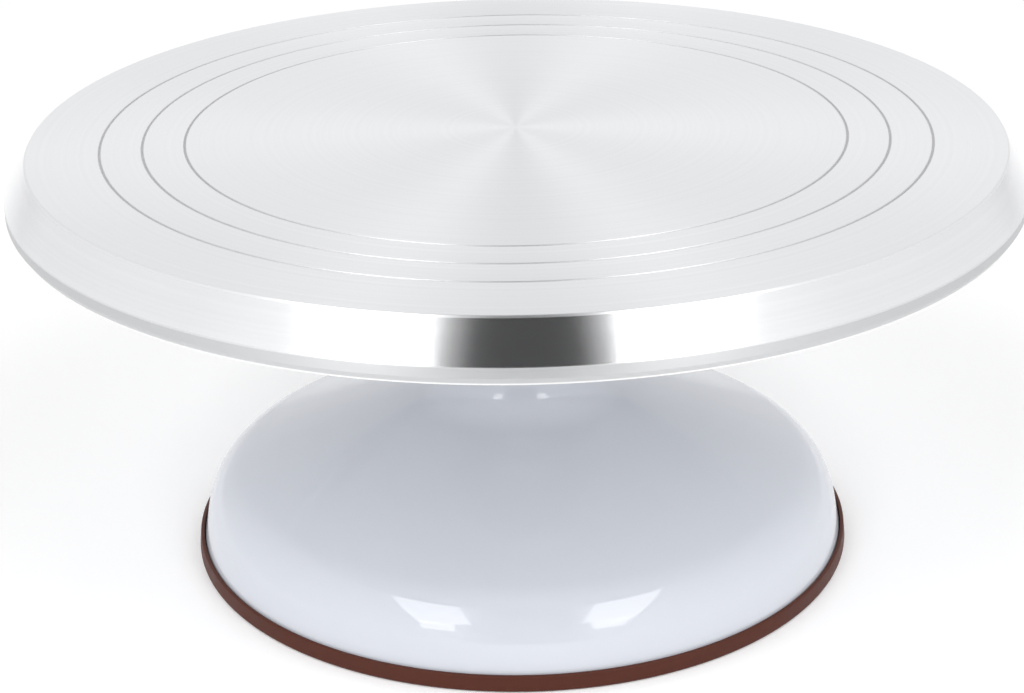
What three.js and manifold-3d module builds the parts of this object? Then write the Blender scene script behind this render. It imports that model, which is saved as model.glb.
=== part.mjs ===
// Cake turntable: a turned aluminium plate on a spindle and two ball bearings,
// carried by a hollow conical plastic base that stands on an anti-slip ring.
//
// Millimetres. +Z is up. The origin is on the table, on the spindle's axis.

import * as THREE from "three";
import { mergeVertices } from "three/addons/utils/BufferGeometryUtils.js";
import Module from "manifold-3d";

// ---------------------------------------------------------------------------
// Driving dimensions
// ---------------------------------------------------------------------------

// Plate: a shallow inverted dish, turned all over, with three guide grooves.
const STAND_HEIGHT = 134;
const PLATE_RADIUS = 152.5;
const PLATE_FLAT_RADIUS = 145.6;
const PLATE_BEVEL_DROP = 11.1;
const PLATE_BAND_HEIGHT = 3;
const PLATE_LIP_HEIGHT = 2.3;
const PLATE_LIP_INSET = 1.5;
const PLATE_THICKNESS = 3.5;
const PLATE_SKIRT_THICKNESS = 3.5;
const PLATE_PAD_RADIUS = 48;
const PLATE_PAD_THICKNESS = 7;
const GROOVE_RADII = [99, 111.5, 124];
const GROOVE_WIDTH = 1;
const GROOVE_DEPTH = 0.5;

// Hub: a cast flange under the plate with a boss for the spindle.
const HUB_FLANGE_RADIUS = 45;
const HUB_FLANGE_THICKNESS = 4.2;
const HUB_BOSS_RADIUS = 22;
const HUB_BOSS_BOTTOM = 101;
const HUB_FILLET_RADIUS = 6;
const HUB_SCREW_CIRCLE = 36;
const HUB_SCREW_COUNT = 4;
const SET_SCREW_HEIGHT = 110;
const SET_SCREW_LENGTH = 12;
const SET_SCREW_DRIVE = 0.55;

// Base shell: straight walls joined by two round corners, then the neck.
const SHELL_BOTTOM = 2.3;
const SHELL_BOTTOM_RADIUS = 101.9;
const SHELL_SHOULDER = { radius: 98, height: 22.3, round: 19.3 };
const SHELL_WAIST = { radius: 25.1, height: 51.7, round: 16 };
const SHELL_NECK_TOP = 100;
const SHELL_NECK_TOP_RADIUS = 22.8;
const SHELL_WALL = 2.6;
const SHELL_DUST_LIP_HOLE = 12.5;

// Ring, cover and the screws that close the base from below.
const RING_RADIUS = 103.5;
const RING_HEIGHT = 4.9;
const RING_FLOOR = 2;
const RING_INNER_RADIUS = 87;
const RING_LIP_DRAFT = 0.4;
const RING_LIP_EDGE = { across: 0.5, down: 0.9 };
const RING_GRIP_LEAN = 0.5;
const COVER_RADIUS = 98.2;
const COVER_THICKNESS = 2.5;
const COVER_SCREW_CIRCLE = 80;
const COVER_SCREW_COUNT = 6;
const COVER_BOSS_RADIUS = 4;

// Column: the moulded tube inside the base that holds both bearings.
const COLUMN_RADIUS = 19.5;
const COLUMN_TOP = 98;
const COLUMN_BOTTOM = 8;
const COLUMN_FLANGE_RADIUS = 52;
const COLUMN_FLANGE_THICKNESS = 3;
const COLUMN_BORE_RADIUS = 14;
const COLUMN_SCREW_CIRCLE = 42;
const COLUMN_SCREW_COUNT = 4;
const COLUMN_BOSS_RADIUS = 4.5;
const COLUMN_RIB_THICKNESS = 3;
const COLUMN_RIB_HEIGHT = 24;

// Two standard deep-groove bearings, 15 x 35 x 11 above and 12 x 32 x 10 below.
const UPPER_BEARING = { bore: 7.5, outer: 17.5, width: 11, bottom: 85, pitch: 12.5, balls: 8 };
const LOWER_BEARING = { bore: 6, outer: 16, width: 10, bottom: 20, pitch: 11, balls: 7 };
const BALL_RADIUS = 2.975;
const RACE_LAND_OFFSET = 2.3;
const GROOVE_CLEARANCE = 0.2;
const CAGE_THICKNESS = 1.2;
const CAGE_HEIGHT = 7.8;
const CAGE_WINDOW_RADIUS = 3.4;

// Spindle and what holds it in the lower bearing.
const SPINDLE_BOTTOM = 15;
const SPINDLE_COLLAR_RADIUS = 10.3;
const SPINDLE_COLLAR_HEIGHT = 4.6;
const SPINDLE_HEAD_RADIUS = 6.9;
const SPINDLE_HEAD_TOP = 120.2;
const RETAINING_GROOVE_BOTTOM = 17.8;
const RETAINING_GROOVE_WIDTH = 1.2;
const RETAINING_GROOVE_DEPTH = 0.5;
const RETAINING_RING_WIDTH = 3;
const RETAINING_RING_GAP = 5;
const WAVE_WASHER_WIDTH = 2;
const WAVE_WASHER_THICKNESS = 0.3;
const WAVE_WASHER_AMPLITUDE = 0.2;
const WAVE_COUNT = 3;

// Screws, all driven from below.
const HUB_SCREW = { shank: 2.5, head: 4.5, headHeight: 2.8, length: 12.4, drive: "hexagon" };
const COLUMN_SCREW = { shank: 2, head: 3.7, headHeight: 2.2, length: 15, drive: "cross" };
const COVER_SCREW = { shank: 1.6, head: 3.1, headHeight: 1.4, length: 12, drive: "cross" };
const HEAD_CROWN = { across: 0.8, up: 0.4 };
const DRIVE_DEPTH = 0.6;
const HEXAGON_RADIUS = 0.5;
const CROSS_WIDTH = 0.25;
const BETWEEN_AXES = Math.PI / 4;

// Working clearances between neighbouring pieces.
const SEAT_GAP = 0.3;
const FIT_GAP = 0.1;
const SCREW_GAP = 0.25;
const EDGE_CHAMFER = 1;

// Facets around each kind of round piece.
const PLATE_FACETS = 60;
const SHELL_FACETS = 48;
const COLUMN_FACETS = 32;
const BEARING_FACETS = 24;
const SCREW_FACETS = 10;
const WINDOW_FACETS = 8;
const HEXAGON_FACETS = 6;
const CAGE_FACETS_PER_WINDOW = 3;
const RACEWAY_STEPS = 2;
const BALL_FACETS = { around: 9, down: 6 };
const ROUND_STEPS = 3;
const OVERSHOOT = 2;

// ---------------------------------------------------------------------------
// Materials
// ---------------------------------------------------------------------------

function material(color, roughness, metalness) {
  return new THREE.MeshStandardMaterial({ color, roughness, metalness });
}

const turnedAluminium = material(0xdfe1e3, 0.35, 1);
const castAluminium = material(0xb9bbbd, 0.55, 1);
const whitePlastic = material(0xe6e9ef, 0.18, 0);
const innerPlastic = material(0xd2d4d6, 0.5, 0);
const brownSilicone = material(0x5c372e, 0.75, 0);
const bearingSteel = material(0xc9ccd0, 0.15, 1);
const cageSteel = material(0xa79f92, 0.35, 1);
const spindleSteel = material(0x9da1a6, 0.3, 1);
const zincSteel = material(0xb4b7ba, 0.4, 1);

// ---------------------------------------------------------------------------
// Shapes shared by several pieces
// ---------------------------------------------------------------------------

const wasm = await Module();
wasm.setup();

// A closed solid for cutting and joining: corners shared, empty triangles dropped.
function toSolid(geometry) {
  const bare = geometry.clone();
  bare.deleteAttribute("normal");
  bare.deleteAttribute("uv");
  const merged = mergeVertices(bare);
  const corners = merged.index.array;
  const triVerts = [];
  for (let i = 0; i < corners.length; i += 3) {
    const [a, b, c] = [corners[i], corners[i + 1], corners[i + 2]];
    if (a !== b && b !== c && c !== a) {
      triVerts.push(a, b, c);
    }
  }
  const vertProperties = merged.attributes.position.array;
  const mesh = new wasm.Mesh({ numProp: 3, vertProperties, triVerts: Uint32Array.from(triVerts) });
  return new wasm.Manifold(mesh);
}

function toGeometry(solid) {
  const { vertProperties, triVerts } = solid.getMesh();
  const geometry = new THREE.BufferGeometry();
  geometry.setAttribute("position", new THREE.BufferAttribute(vertProperties, 3));
  geometry.setIndex(new THREE.BufferAttribute(triVerts, 1));
  geometry.computeVertexNormals();
  return geometry;
}

// A solid turned about Z from [radius, height] points, listed anticlockwise.
function turned(outline, facets) {
  const points = outline.map(([radius, height]) => new THREE.Vector2(radius, height));
  return new THREE.LatheGeometry(points, facets).rotateX(Math.PI / 2);
}

// The same for an outline that runs round a hollow middle and meets itself.
function turnedRing(outline, facets) {
  return turned([...outline, outline[0]], facets);
}

function cylinder(radius, bottom, top, facets = SCREW_FACETS) {
  const geometry = new THREE.CylinderGeometry(radius, radius, top - bottom, facets);
  return geometry.rotateX(Math.PI / 2).translate(0, 0, (top + bottom) / 2);
}

// Copies of one shape set at equal angles on a circle about Z.
function aroundCircle(geometry, count, circleRadius, firstAngle = 0) {
  const copies = [];
  for (let i = 0; i < count; i += 1) {
    const angle = firstAngle + (2 * Math.PI * i) / count;
    copies.push(geometry.clone().translate(circleRadius, 0, 0).rotateZ(angle));
  }
  return copies;
}

function cutAll(solid, geometries) {
  return geometries.reduce((rest, geometry) => rest.subtract(toSolid(geometry)), solid);
}

// The arc that rounds the corner between two straight stretches of an outline.
function roundCorner(before, corner, after, radius) {
  const at = new THREE.Vector2(...corner);
  const back = new THREE.Vector2(...before).sub(at).normalize();
  const ahead = new THREE.Vector2(...after).sub(at).normalize();
  const halfAngle = Math.acos(back.dot(ahead)) / 2;
  const middle = back.clone().add(ahead).normalize();
  const centre = at.clone().addScaledVector(middle, radius / Math.sin(halfAngle));
  const tangent = radius / Math.tan(halfAngle);
  const start = at.clone().addScaledVector(back, tangent).sub(centre);
  const sweep = Math.PI - 2 * halfAngle;
  const turn = Math.sign(back.cross(ahead)) * -sweep;
  const arc = [];
  for (let i = 0; i <= ROUND_STEPS; i += 1) {
    const spoke = start.clone().rotateAround(new THREE.Vector2(), (turn * i) / ROUND_STEPS);
    arc.push([centre.x + spoke.x, centre.y + spoke.y]);
  }
  return arc;
}

// ---------------------------------------------------------------------------
// Rotor: plate, hub and spindle
// ---------------------------------------------------------------------------

const padBottom = STAND_HEIGHT - PLATE_PAD_THICKNESS;
const bandTop = STAND_HEIGHT - PLATE_BEVEL_DROP;
const bandBottom = bandTop - PLATE_BAND_HEIGHT;
const plateBottom = bandBottom - PLATE_LIP_HEIGHT;
const hubTop = padBottom - SEAT_GAP;
const hubFlangeBottom = hubTop - HUB_FLANGE_THICKNESS;

function groove(radius) {
  return [
    [radius + GROOVE_WIDTH / 2, STAND_HEIGHT],
    [radius, STAND_HEIGHT - GROOVE_DEPTH],
    [radius - GROOVE_WIDTH / 2, STAND_HEIGHT],
  ];
}

function turntablePlate() {
  const skirtRadius = PLATE_RADIUS - PLATE_SKIRT_THICKNESS;
  const undersideRadius = PLATE_FLAT_RADIUS - PLATE_THICKNESS / 2;
  const outline = [
    [0, padBottom],
    [PLATE_PAD_RADIUS, padBottom],
    [PLATE_PAD_RADIUS, STAND_HEIGHT - PLATE_THICKNESS],
    [undersideRadius, STAND_HEIGHT - PLATE_THICKNESS],
    [skirtRadius, bandTop - PLATE_THICKNESS / 2],
    [skirtRadius, plateBottom],
    [PLATE_RADIUS - PLATE_LIP_INSET, plateBottom],
    [PLATE_RADIUS, bandBottom],
    [PLATE_RADIUS, bandTop],
    [PLATE_FLAT_RADIUS, STAND_HEIGHT],
    ...GROOVE_RADII.toReversed().flatMap(groove),
    [0, STAND_HEIGHT],
  ];
  const holeTop = hubFlangeBottom - SEAT_GAP - HUB_SCREW.headHeight + HUB_SCREW.length + SEAT_GAP;
  const hole = cylinder(HUB_SCREW.shank + SCREW_GAP, padBottom - OVERSHOOT, holeTop);
  const holes = aroundCircle(hole, HUB_SCREW_COUNT, HUB_SCREW_CIRCLE, BETWEEN_AXES);
  return toGeometry(cutAll(toSolid(turned(outline, PLATE_FACETS)), holes));
}

function setScrewHole() {
  const hole = cylinder(HUB_SCREW.shank + SCREW_GAP, 0, HUB_BOSS_RADIUS + OVERSHOOT);
  return hole.rotateY(Math.PI / 2).translate(0, 0, SET_SCREW_HEIGHT);
}

function hubFlange() {
  const boreRadius = SPINDLE_HEAD_RADIUS + SEAT_GAP;
  const boreTop = SPINDLE_HEAD_TOP + SEAT_GAP;
  const bossEdge = [HUB_BOSS_RADIUS, HUB_BOSS_BOTTOM + EDGE_CHAMFER];
  const flangeEdge = [HUB_FLANGE_RADIUS - EDGE_CHAMFER, hubFlangeBottom];
  const fillet = roundCorner(
    bossEdge, [HUB_BOSS_RADIUS, hubFlangeBottom], flangeEdge, HUB_FILLET_RADIUS,
  );
  const outline = [
    [0, boreTop],
    [boreRadius, boreTop],
    [boreRadius, HUB_BOSS_BOTTOM],
    [HUB_BOSS_RADIUS - EDGE_CHAMFER, HUB_BOSS_BOTTOM],
    bossEdge,
    ...fillet,
    flangeEdge,
    [HUB_FLANGE_RADIUS, hubFlangeBottom + EDGE_CHAMFER],
    [HUB_FLANGE_RADIUS, hubTop],
    [0, hubTop],
  ];
  const hole = cylinder(HUB_SCREW.shank + SCREW_GAP, hubFlangeBottom - OVERSHOOT, hubTop + OVERSHOOT);
  const holes = aroundCircle(hole, HUB_SCREW_COUNT, HUB_SCREW_CIRCLE, BETWEEN_AXES);
  return toGeometry(cutAll(toSolid(turned(outline, COLUMN_FACETS)), [...holes, setScrewHole()]));
}

function spindle() {
  const lowerRadius = LOWER_BEARING.bore - FIT_GAP / 2;
  const upperRadius = UPPER_BEARING.bore - FIT_GAP / 2;
  const shoulder = LOWER_BEARING.bottom + LOWER_BEARING.width + FIT_GAP;
  const collarBottom = UPPER_BEARING.bottom + UPPER_BEARING.width + FIT_GAP;
  const grooveTop = RETAINING_GROOVE_BOTTOM + RETAINING_GROOVE_WIDTH;
  const grooveRadius = lowerRadius - RETAINING_GROOVE_DEPTH;
  const outline = [
    [0, SPINDLE_BOTTOM],
    [lowerRadius - EDGE_CHAMFER, SPINDLE_BOTTOM],
    [lowerRadius, SPINDLE_BOTTOM + EDGE_CHAMFER],
    [lowerRadius, RETAINING_GROOVE_BOTTOM],
    [grooveRadius, RETAINING_GROOVE_BOTTOM],
    [grooveRadius, grooveTop],
    [lowerRadius, grooveTop],
    [lowerRadius, shoulder],
    [upperRadius, shoulder],
    [upperRadius, collarBottom],
    [SPINDLE_COLLAR_RADIUS, collarBottom],
    [SPINDLE_COLLAR_RADIUS, collarBottom + SPINDLE_COLLAR_HEIGHT],
    [SPINDLE_HEAD_RADIUS, collarBottom + SPINDLE_COLLAR_HEIGHT],
    [SPINDLE_HEAD_RADIUS, SPINDLE_HEAD_TOP - EDGE_CHAMFER],
    [SPINDLE_HEAD_RADIUS - EDGE_CHAMFER, SPINDLE_HEAD_TOP],
    [0, SPINDLE_HEAD_TOP],
  ];
  return turned(outline, BEARING_FACETS);
}

// An open ring that springs into the groove near the spindle's lower end.
function retainingRing() {
  const inner = LOWER_BEARING.bore - RETAINING_GROOVE_DEPTH + FIT_GAP;
  const outer = inner + RETAINING_RING_WIDTH;
  const bottom = RETAINING_GROOVE_BOTTOM + FIT_GAP;
  const top = RETAINING_GROOVE_BOTTOM + RETAINING_GROOVE_WIDTH - FIT_GAP;
  const outline = [[inner, bottom], [outer, bottom], [outer, top], [inner, top]];
  const gap = new THREE.BoxGeometry(outer + OVERSHOOT, RETAINING_RING_GAP, OVERSHOOT * 2);
  gap.translate((outer + OVERSHOOT) / 2, 0, (bottom + top) / 2);
  return toGeometry(cutAll(toSolid(turnedRing(outline, BEARING_FACETS)), [gap]));
}

// A thin ring whose surface rises and falls three times round, to take up end play.
function preloadWasher() {
  const inner = LOWER_BEARING.bore + FIT_GAP;
  const outer = inner + WAVE_WASHER_WIDTH;
  const grooveTop = RETAINING_GROOVE_BOTTOM + RETAINING_GROOVE_WIDTH;
  const middle = (grooveTop + LOWER_BEARING.bottom) / 2;
  const bottom = middle - WAVE_WASHER_THICKNESS / 2;
  const top = middle + WAVE_WASHER_THICKNESS / 2;
  const outline = [[inner, bottom], [outer, bottom], [outer, top], [inner, top]];
  const geometry = turnedRing(outline, BEARING_FACETS);
  const position = geometry.attributes.position;
  for (let i = 0; i < position.count; i += 1) {
    const angle = Math.atan2(position.getY(i), position.getX(i));
    const lift = WAVE_WASHER_AMPLITUDE * Math.cos(WAVE_COUNT * angle);
    position.setZ(i, position.getZ(i) + lift);
  }
  return geometry;
}

// ---------------------------------------------------------------------------
// Base: shell, column, ring and cover
// ---------------------------------------------------------------------------

// The base's outside, moved inwards by a distance: bottom edge, shoulder, waist, neck top.
function shellOutline(inset, neckTop) {
  const shoulderDrop = SHELL_SHOULDER.height - SHELL_BOTTOM;
  const coneDrop = SHELL_WAIST.height - SHELL_SHOULDER.height;
  const neckDrop = SHELL_NECK_TOP - SHELL_WAIST.height;
  const wallTilt = Math.atan2(shoulderDrop, SHELL_BOTTOM_RADIUS - SHELL_SHOULDER.radius);
  const coneTilt = Math.atan2(coneDrop, SHELL_SHOULDER.radius - SHELL_WAIST.radius);
  const neckTilt = Math.atan2(neckDrop, SHELL_WAIST.radius - SHELL_NECK_TOP_RADIUS);
  const shoulder = insetCorner(SHELL_SHOULDER, wallTilt, coneTilt, inset);
  const waist = insetCorner(SHELL_WAIST, coneTilt, neckTilt, inset);
  const bottom = [SHELL_BOTTOM_RADIUS - inset / Math.sin(wallTilt), SHELL_BOTTOM];
  const top = [SHELL_NECK_TOP_RADIUS - inset / Math.sin(neckTilt), neckTop];
  return [
    bottom,
    ...roundCorner(bottom, shoulder, waist, SHELL_SHOULDER.round - inset),
    ...roundCorner(shoulder, waist, top, SHELL_WAIST.round + inset),
    top,
  ];
}

// Where two straight stretches meet after both have moved inwards by the same distance.
function insetCorner(corner, tiltBefore, tiltAfter, inset) {
  const bisector = (tiltBefore + tiltAfter) / 2;
  const reach = inset / Math.cos((tiltBefore - tiltAfter) / 2);
  return [corner.radius - reach * Math.sin(bisector), corner.height - reach * Math.cos(bisector)];
}

// Screw posts that rise from a given height into the middle of the shell's wall.
function shellPosts(count, circleRadius, postRadius, bottom, firstAngle) {
  const middle = shellOutline(SHELL_WALL / 2, SHELL_NECK_TOP);
  const outline = [[0, SHELL_BOTTOM], ...middle, [0, SHELL_NECK_TOP]];
  const filled = toSolid(turned(outline, SHELL_FACETS));
  const post = cylinder(postRadius, bottom, SHELL_NECK_TOP);
  const posts = aroundCircle(post, count, circleRadius, firstAngle);
  return posts.map((shape) => toSolid(shape).intersect(filled));
}

function baseShell() {
  const outside = shellOutline(0, SHELL_NECK_TOP - EDGE_CHAMFER);
  const lipBottom = COLUMN_TOP + SEAT_GAP;
  const inside = shellOutline(SHELL_WALL, lipBottom).toReversed();
  const outline = [
    ...outside,
    [SHELL_NECK_TOP_RADIUS - EDGE_CHAMFER, SHELL_NECK_TOP],
    [SHELL_DUST_LIP_HOLE, SHELL_NECK_TOP],
    [SHELL_DUST_LIP_HOLE, lipBottom],
    ...inside,
  ];
  const coverPostBottom = SHELL_BOTTOM + COVER_THICKNESS + SEAT_GAP;
  const columnPostBottom = COLUMN_BOTTOM + COLUMN_FLANGE_THICKNESS + SEAT_GAP;
  const posts = [
    ...shellPosts(COVER_SCREW_COUNT, COVER_SCREW_CIRCLE, COVER_BOSS_RADIUS, coverPostBottom, 0),
    ...shellPosts(
      COLUMN_SCREW_COUNT, COLUMN_SCREW_CIRCLE, COLUMN_BOSS_RADIUS, columnPostBottom, BETWEEN_AXES,
    ),
  ];
  const coverHole = cylinder(COVER_SCREW.shank + SCREW_GAP, 0, COVER_SCREW.length + OVERSHOOT);
  const columnHoleTop = COLUMN_BOTTOM + COLUMN_SCREW.length;
  const columnHole = cylinder(COLUMN_SCREW.shank + SCREW_GAP, COLUMN_BOTTOM, columnHoleTop);
  const holes = [
    ...aroundCircle(coverHole, COVER_SCREW_COUNT, COVER_SCREW_CIRCLE),
    ...aroundCircle(columnHole, COLUMN_SCREW_COUNT, COLUMN_SCREW_CIRCLE, BETWEEN_AXES),
  ];
  const wall = toSolid(turnedRing(outline, SHELL_FACETS));
  const joined = posts.reduce((rest, post) => rest.add(post), wall);
  return toGeometry(cutAll(joined, holes));
}

function antiSlipRing() {
  const grip = SHELL_BOTTOM_RADIUS + SEAT_GAP + FIT_GAP;
  const lip = RING_RADIUS - RING_LIP_DRAFT;
  const outline = [
    [RING_INNER_RADIUS, 0],
    [RING_RADIUS, 0],
    [lip, RING_HEIGHT - RING_LIP_EDGE.down],
    [lip - RING_LIP_EDGE.across, RING_HEIGHT],
    [grip - RING_GRIP_LEAN, RING_HEIGHT],
    [grip, RING_FLOOR],
    [RING_INNER_RADIUS, RING_FLOOR],
  ];
  return turnedRing(outline, SHELL_FACETS);
}

function bottomCover() {
  const top = SHELL_BOTTOM + COVER_THICKNESS;
  const outline = [
    [0, SHELL_BOTTOM],
    [COVER_RADIUS, SHELL_BOTTOM],
    [COVER_RADIUS, top],
    [0, top],
  ];
  const hole = cylinder(COVER_SCREW.shank + SCREW_GAP, 0, top + OVERSHOOT);
  const holes = aroundCircle(hole, COVER_SCREW_COUNT, COVER_SCREW_CIRCLE);
  return toGeometry(cutAll(toSolid(turned(outline, SHELL_FACETS)), holes));
}

// A triangular stiffener between the column's tube and its flange.
function columnRib() {
  const foot = COLUMN_BOTTOM + COLUMN_FLANGE_THICKNESS / 2;
  const root = COLUMN_RADIUS - COLUMN_RIB_THICKNESS / 2;
  const shape = new THREE.Shape();
  shape.moveTo(root, foot);
  shape.lineTo(COLUMN_FLANGE_RADIUS - COLUMN_RIB_THICKNESS, foot);
  shape.lineTo(root, foot + COLUMN_RIB_HEIGHT);
  const rib = new THREE.ExtrudeGeometry(shape, { depth: COLUMN_RIB_THICKNESS, bevelEnabled: false });
  return rib.rotateX(Math.PI / 2).translate(0, COLUMN_RIB_THICKNESS / 2, 0);
}

function innerColumn() {
  const flangeTop = COLUMN_BOTTOM + COLUMN_FLANGE_THICKNESS;
  const lowerSeat = LOWER_BEARING.outer + FIT_GAP;
  const lowerSeatTop = LOWER_BEARING.bottom + LOWER_BEARING.width + FIT_GAP;
  const upperSeat = UPPER_BEARING.outer + FIT_GAP;
  const upperSeatBottom = UPPER_BEARING.bottom - FIT_GAP;
  const outline = [
    [lowerSeat, COLUMN_BOTTOM],
    [COLUMN_FLANGE_RADIUS, COLUMN_BOTTOM],
    [COLUMN_FLANGE_RADIUS, flangeTop],
    [COLUMN_RADIUS, flangeTop],
    [COLUMN_RADIUS, COLUMN_TOP],
    [upperSeat, COLUMN_TOP],
    [upperSeat, upperSeatBottom],
    [COLUMN_BORE_RADIUS, upperSeatBottom],
    [COLUMN_BORE_RADIUS, lowerSeatTop],
    [lowerSeat, lowerSeatTop],
  ];
  const ribs = aroundCircle(columnRib(), COLUMN_SCREW_COUNT, 0);
  const hole = cylinder(COLUMN_SCREW.shank + SCREW_GAP, 0, flangeTop + OVERSHOOT);
  const holes = aroundCircle(hole, COLUMN_SCREW_COUNT, COLUMN_SCREW_CIRCLE, BETWEEN_AXES);
  const tube = toSolid(turnedRing(outline, COLUMN_FACETS));
  const ribbed = ribs.reduce((rest, rib) => rest.add(toSolid(rib)), tube);
  return toGeometry(cutAll(ribbed, holes));
}

// ---------------------------------------------------------------------------
// Bearings
// ---------------------------------------------------------------------------

// The raceway's arc across one face of a race; side is 1 for the inner race, -1 for the outer.
function raceway(bearing, side) {
  const radius = BALL_RADIUS + GROOVE_CLEARANCE;
  const land = bearing.pitch - side * RACE_LAND_OFFSET;
  const halfAngle = Math.acos(RACE_LAND_OFFSET / radius);
  const middle = bearing.bottom + bearing.width / 2;
  const arc = [];
  for (let i = -RACEWAY_STEPS; i <= RACEWAY_STEPS; i += 1) {
    const angle = (halfAngle * i) / RACEWAY_STEPS;
    const across = bearing.pitch - side * radius * Math.cos(angle);
    arc.push([Math.abs(i) === RACEWAY_STEPS ? land : across, middle + side * radius * Math.sin(angle)]);
  }
  return arc;
}

function innerRace(bearing) {
  const top = bearing.bottom + bearing.width;
  const bore = bearing.bore + FIT_GAP / 2;
  const land = bearing.pitch - RACE_LAND_OFFSET;
  const outline = [
    [bore, bearing.bottom],
    [land, bearing.bottom],
    ...raceway(bearing, 1),
    [land, top],
    [bore, top],
  ];
  return turnedRing(outline, BEARING_FACETS);
}

function outerRace(bearing) {
  const top = bearing.bottom + bearing.width;
  const land = bearing.pitch + RACE_LAND_OFFSET;
  const outline = [
    [land, bearing.bottom],
    [bearing.outer, bearing.bottom],
    [bearing.outer, top],
    [land, top],
    ...raceway(bearing, -1),
  ];
  return turnedRing(outline, BEARING_FACETS);
}

// A ring that keeps the balls apart: one round window for each ball.
function cage(bearing) {
  const middle = bearing.bottom + bearing.width / 2;
  const inner = bearing.pitch - CAGE_THICKNESS / 2;
  const outer = bearing.pitch + CAGE_THICKNESS / 2;
  const bottom = middle - CAGE_HEIGHT / 2;
  const top = middle + CAGE_HEIGHT / 2;
  const outline = [[inner, bottom], [outer, bottom], [outer, top], [inner, top]];
  const window = cylinder(CAGE_WINDOW_RADIUS, -OVERSHOOT, OVERSHOOT, WINDOW_FACETS);
  window.rotateY(Math.PI / 2).translate(0, 0, middle);
  const windows = aroundCircle(window, bearing.balls, bearing.pitch);
  const band = turnedRing(outline, bearing.balls * CAGE_FACETS_PER_WINDOW);
  return toGeometry(cutAll(toSolid(band), windows));
}

function balls(bearing) {
  const ball = new THREE.SphereGeometry(BALL_RADIUS, BALL_FACETS.around, BALL_FACETS.down);
  ball.rotateX(Math.PI / 2);
  ball.translate(0, 0, bearing.bottom + bearing.width / 2);
  return aroundCircle(ball, bearing.balls, bearing.pitch);
}

// ---------------------------------------------------------------------------
// Screws
// ---------------------------------------------------------------------------

function driveRecess(screw) {
  const depth = screw.headHeight * DRIVE_DEPTH;
  if (screw.drive === "hexagon") {
    return [cylinder(screw.head * HEXAGON_RADIUS, -OVERSHOOT, depth, HEXAGON_FACETS)];
  }
  const slotWidth = screw.head * CROSS_WIDTH;
  const slot = new THREE.BoxGeometry(screw.head, slotWidth, depth * 2);
  return [slot, slot.clone().rotateZ(Math.PI / 2)];
}

// A screw with the underside of its head uppermost: head from z = 0, shank above it.
function screw(size) {
  const outline = [
    [0, 0],
    [size.head * HEAD_CROWN.across, 0],
    [size.head, size.headHeight * HEAD_CROWN.up],
    [size.head, size.headHeight],
    [size.shank, size.headHeight],
    [size.shank, size.length - size.shank / 2],
    [size.shank / 2, size.length],
    [0, size.length],
  ];
  return toGeometry(cutAll(toSolid(turned(outline, SCREW_FACETS)), driveRecess(size)));
}

// A headless screw that clamps the spindle, with a hexagon recess in its outer end.
function setScrew() {
  const start = SPINDLE_HEAD_RADIUS + SEAT_GAP;
  const end = start + SET_SCREW_LENGTH;
  const body = cylinder(HUB_SCREW.shank, start, end);
  const recessRadius = HUB_SCREW.shank * SET_SCREW_DRIVE;
  const recessBottom = end - HUB_SCREW.shank;
  const recess = cylinder(recessRadius, recessBottom, end + OVERSHOOT, HEXAGON_FACETS);
  const solid = cutAll(toSolid(body), [recess]);
  return toGeometry(solid).rotateY(Math.PI / 2).translate(0, 0, SET_SCREW_HEIGHT);
}

// ---------------------------------------------------------------------------
// Assembly
// ---------------------------------------------------------------------------

const turntable = new THREE.Group();

function addPiece(name, geometry, pieceMaterial) {
  const mesh = new THREE.Mesh(geometry, pieceMaterial);
  mesh.name = name;
  turntable.add(mesh);
}

function addCopies(name, geometries, pieceMaterial) {
  geometries.forEach((geometry, i) => addPiece(`${name}_${i + 1}`, geometry, pieceMaterial));
}

function addBearing(place, bearing) {
  addPiece(`${place}_inner_race`, innerRace(bearing), bearingSteel);
  addPiece(`${place}_outer_race`, outerRace(bearing), bearingSteel);
  addPiece(`${place}_cage`, cage(bearing), cageSteel);
  addCopies(`${place}_ball`, balls(bearing), bearingSteel);
}

const hubScrewBottom = hubFlangeBottom - SEAT_GAP - HUB_SCREW.headHeight;
const columnScrewBottom = COLUMN_BOTTOM - SEAT_GAP - COLUMN_SCREW.headHeight;
const coverScrewBottom = SHELL_BOTTOM - FIT_GAP - COVER_SCREW.headHeight;
const hubScrew = screw(HUB_SCREW).translate(0, 0, hubScrewBottom);
const columnScrew = screw(COLUMN_SCREW).translate(0, 0, columnScrewBottom);
const coverScrew = screw(COVER_SCREW).translate(0, 0, coverScrewBottom);

addPiece("turntable_plate", turntablePlate(), turnedAluminium);
addPiece("hub_flange", hubFlange(), castAluminium);
addCopies(
  "hub_screw",
  aroundCircle(hubScrew, HUB_SCREW_COUNT, HUB_SCREW_CIRCLE, BETWEEN_AXES),
  zincSteel,
);
addPiece("hub_set_screw", setScrew(), zincSteel);
addPiece("spindle", spindle(), spindleSteel);
addPiece("retaining_ring", retainingRing(), spindleSteel);
addPiece("preload_washer", preloadWasher(), spindleSteel);
addBearing("upper", UPPER_BEARING);
addBearing("lower", LOWER_BEARING);
addPiece("base_shell", baseShell(), whitePlastic);
addPiece("inner_column", innerColumn(), innerPlastic);
addCopies(
  "column_screw",
  aroundCircle(columnScrew, COLUMN_SCREW_COUNT, COLUMN_SCREW_CIRCLE, BETWEEN_AXES),
  zincSteel,
);
addPiece("bottom_cover", bottomCover(), innerPlastic);
addCopies("cover_screw", aroundCircle(coverScrew, COVER_SCREW_COUNT, COVER_SCREW_CIRCLE), zincSteel);
addPiece("anti_slip_ring", antiSlipRing(), brownSilicone);

export default turntable;
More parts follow.
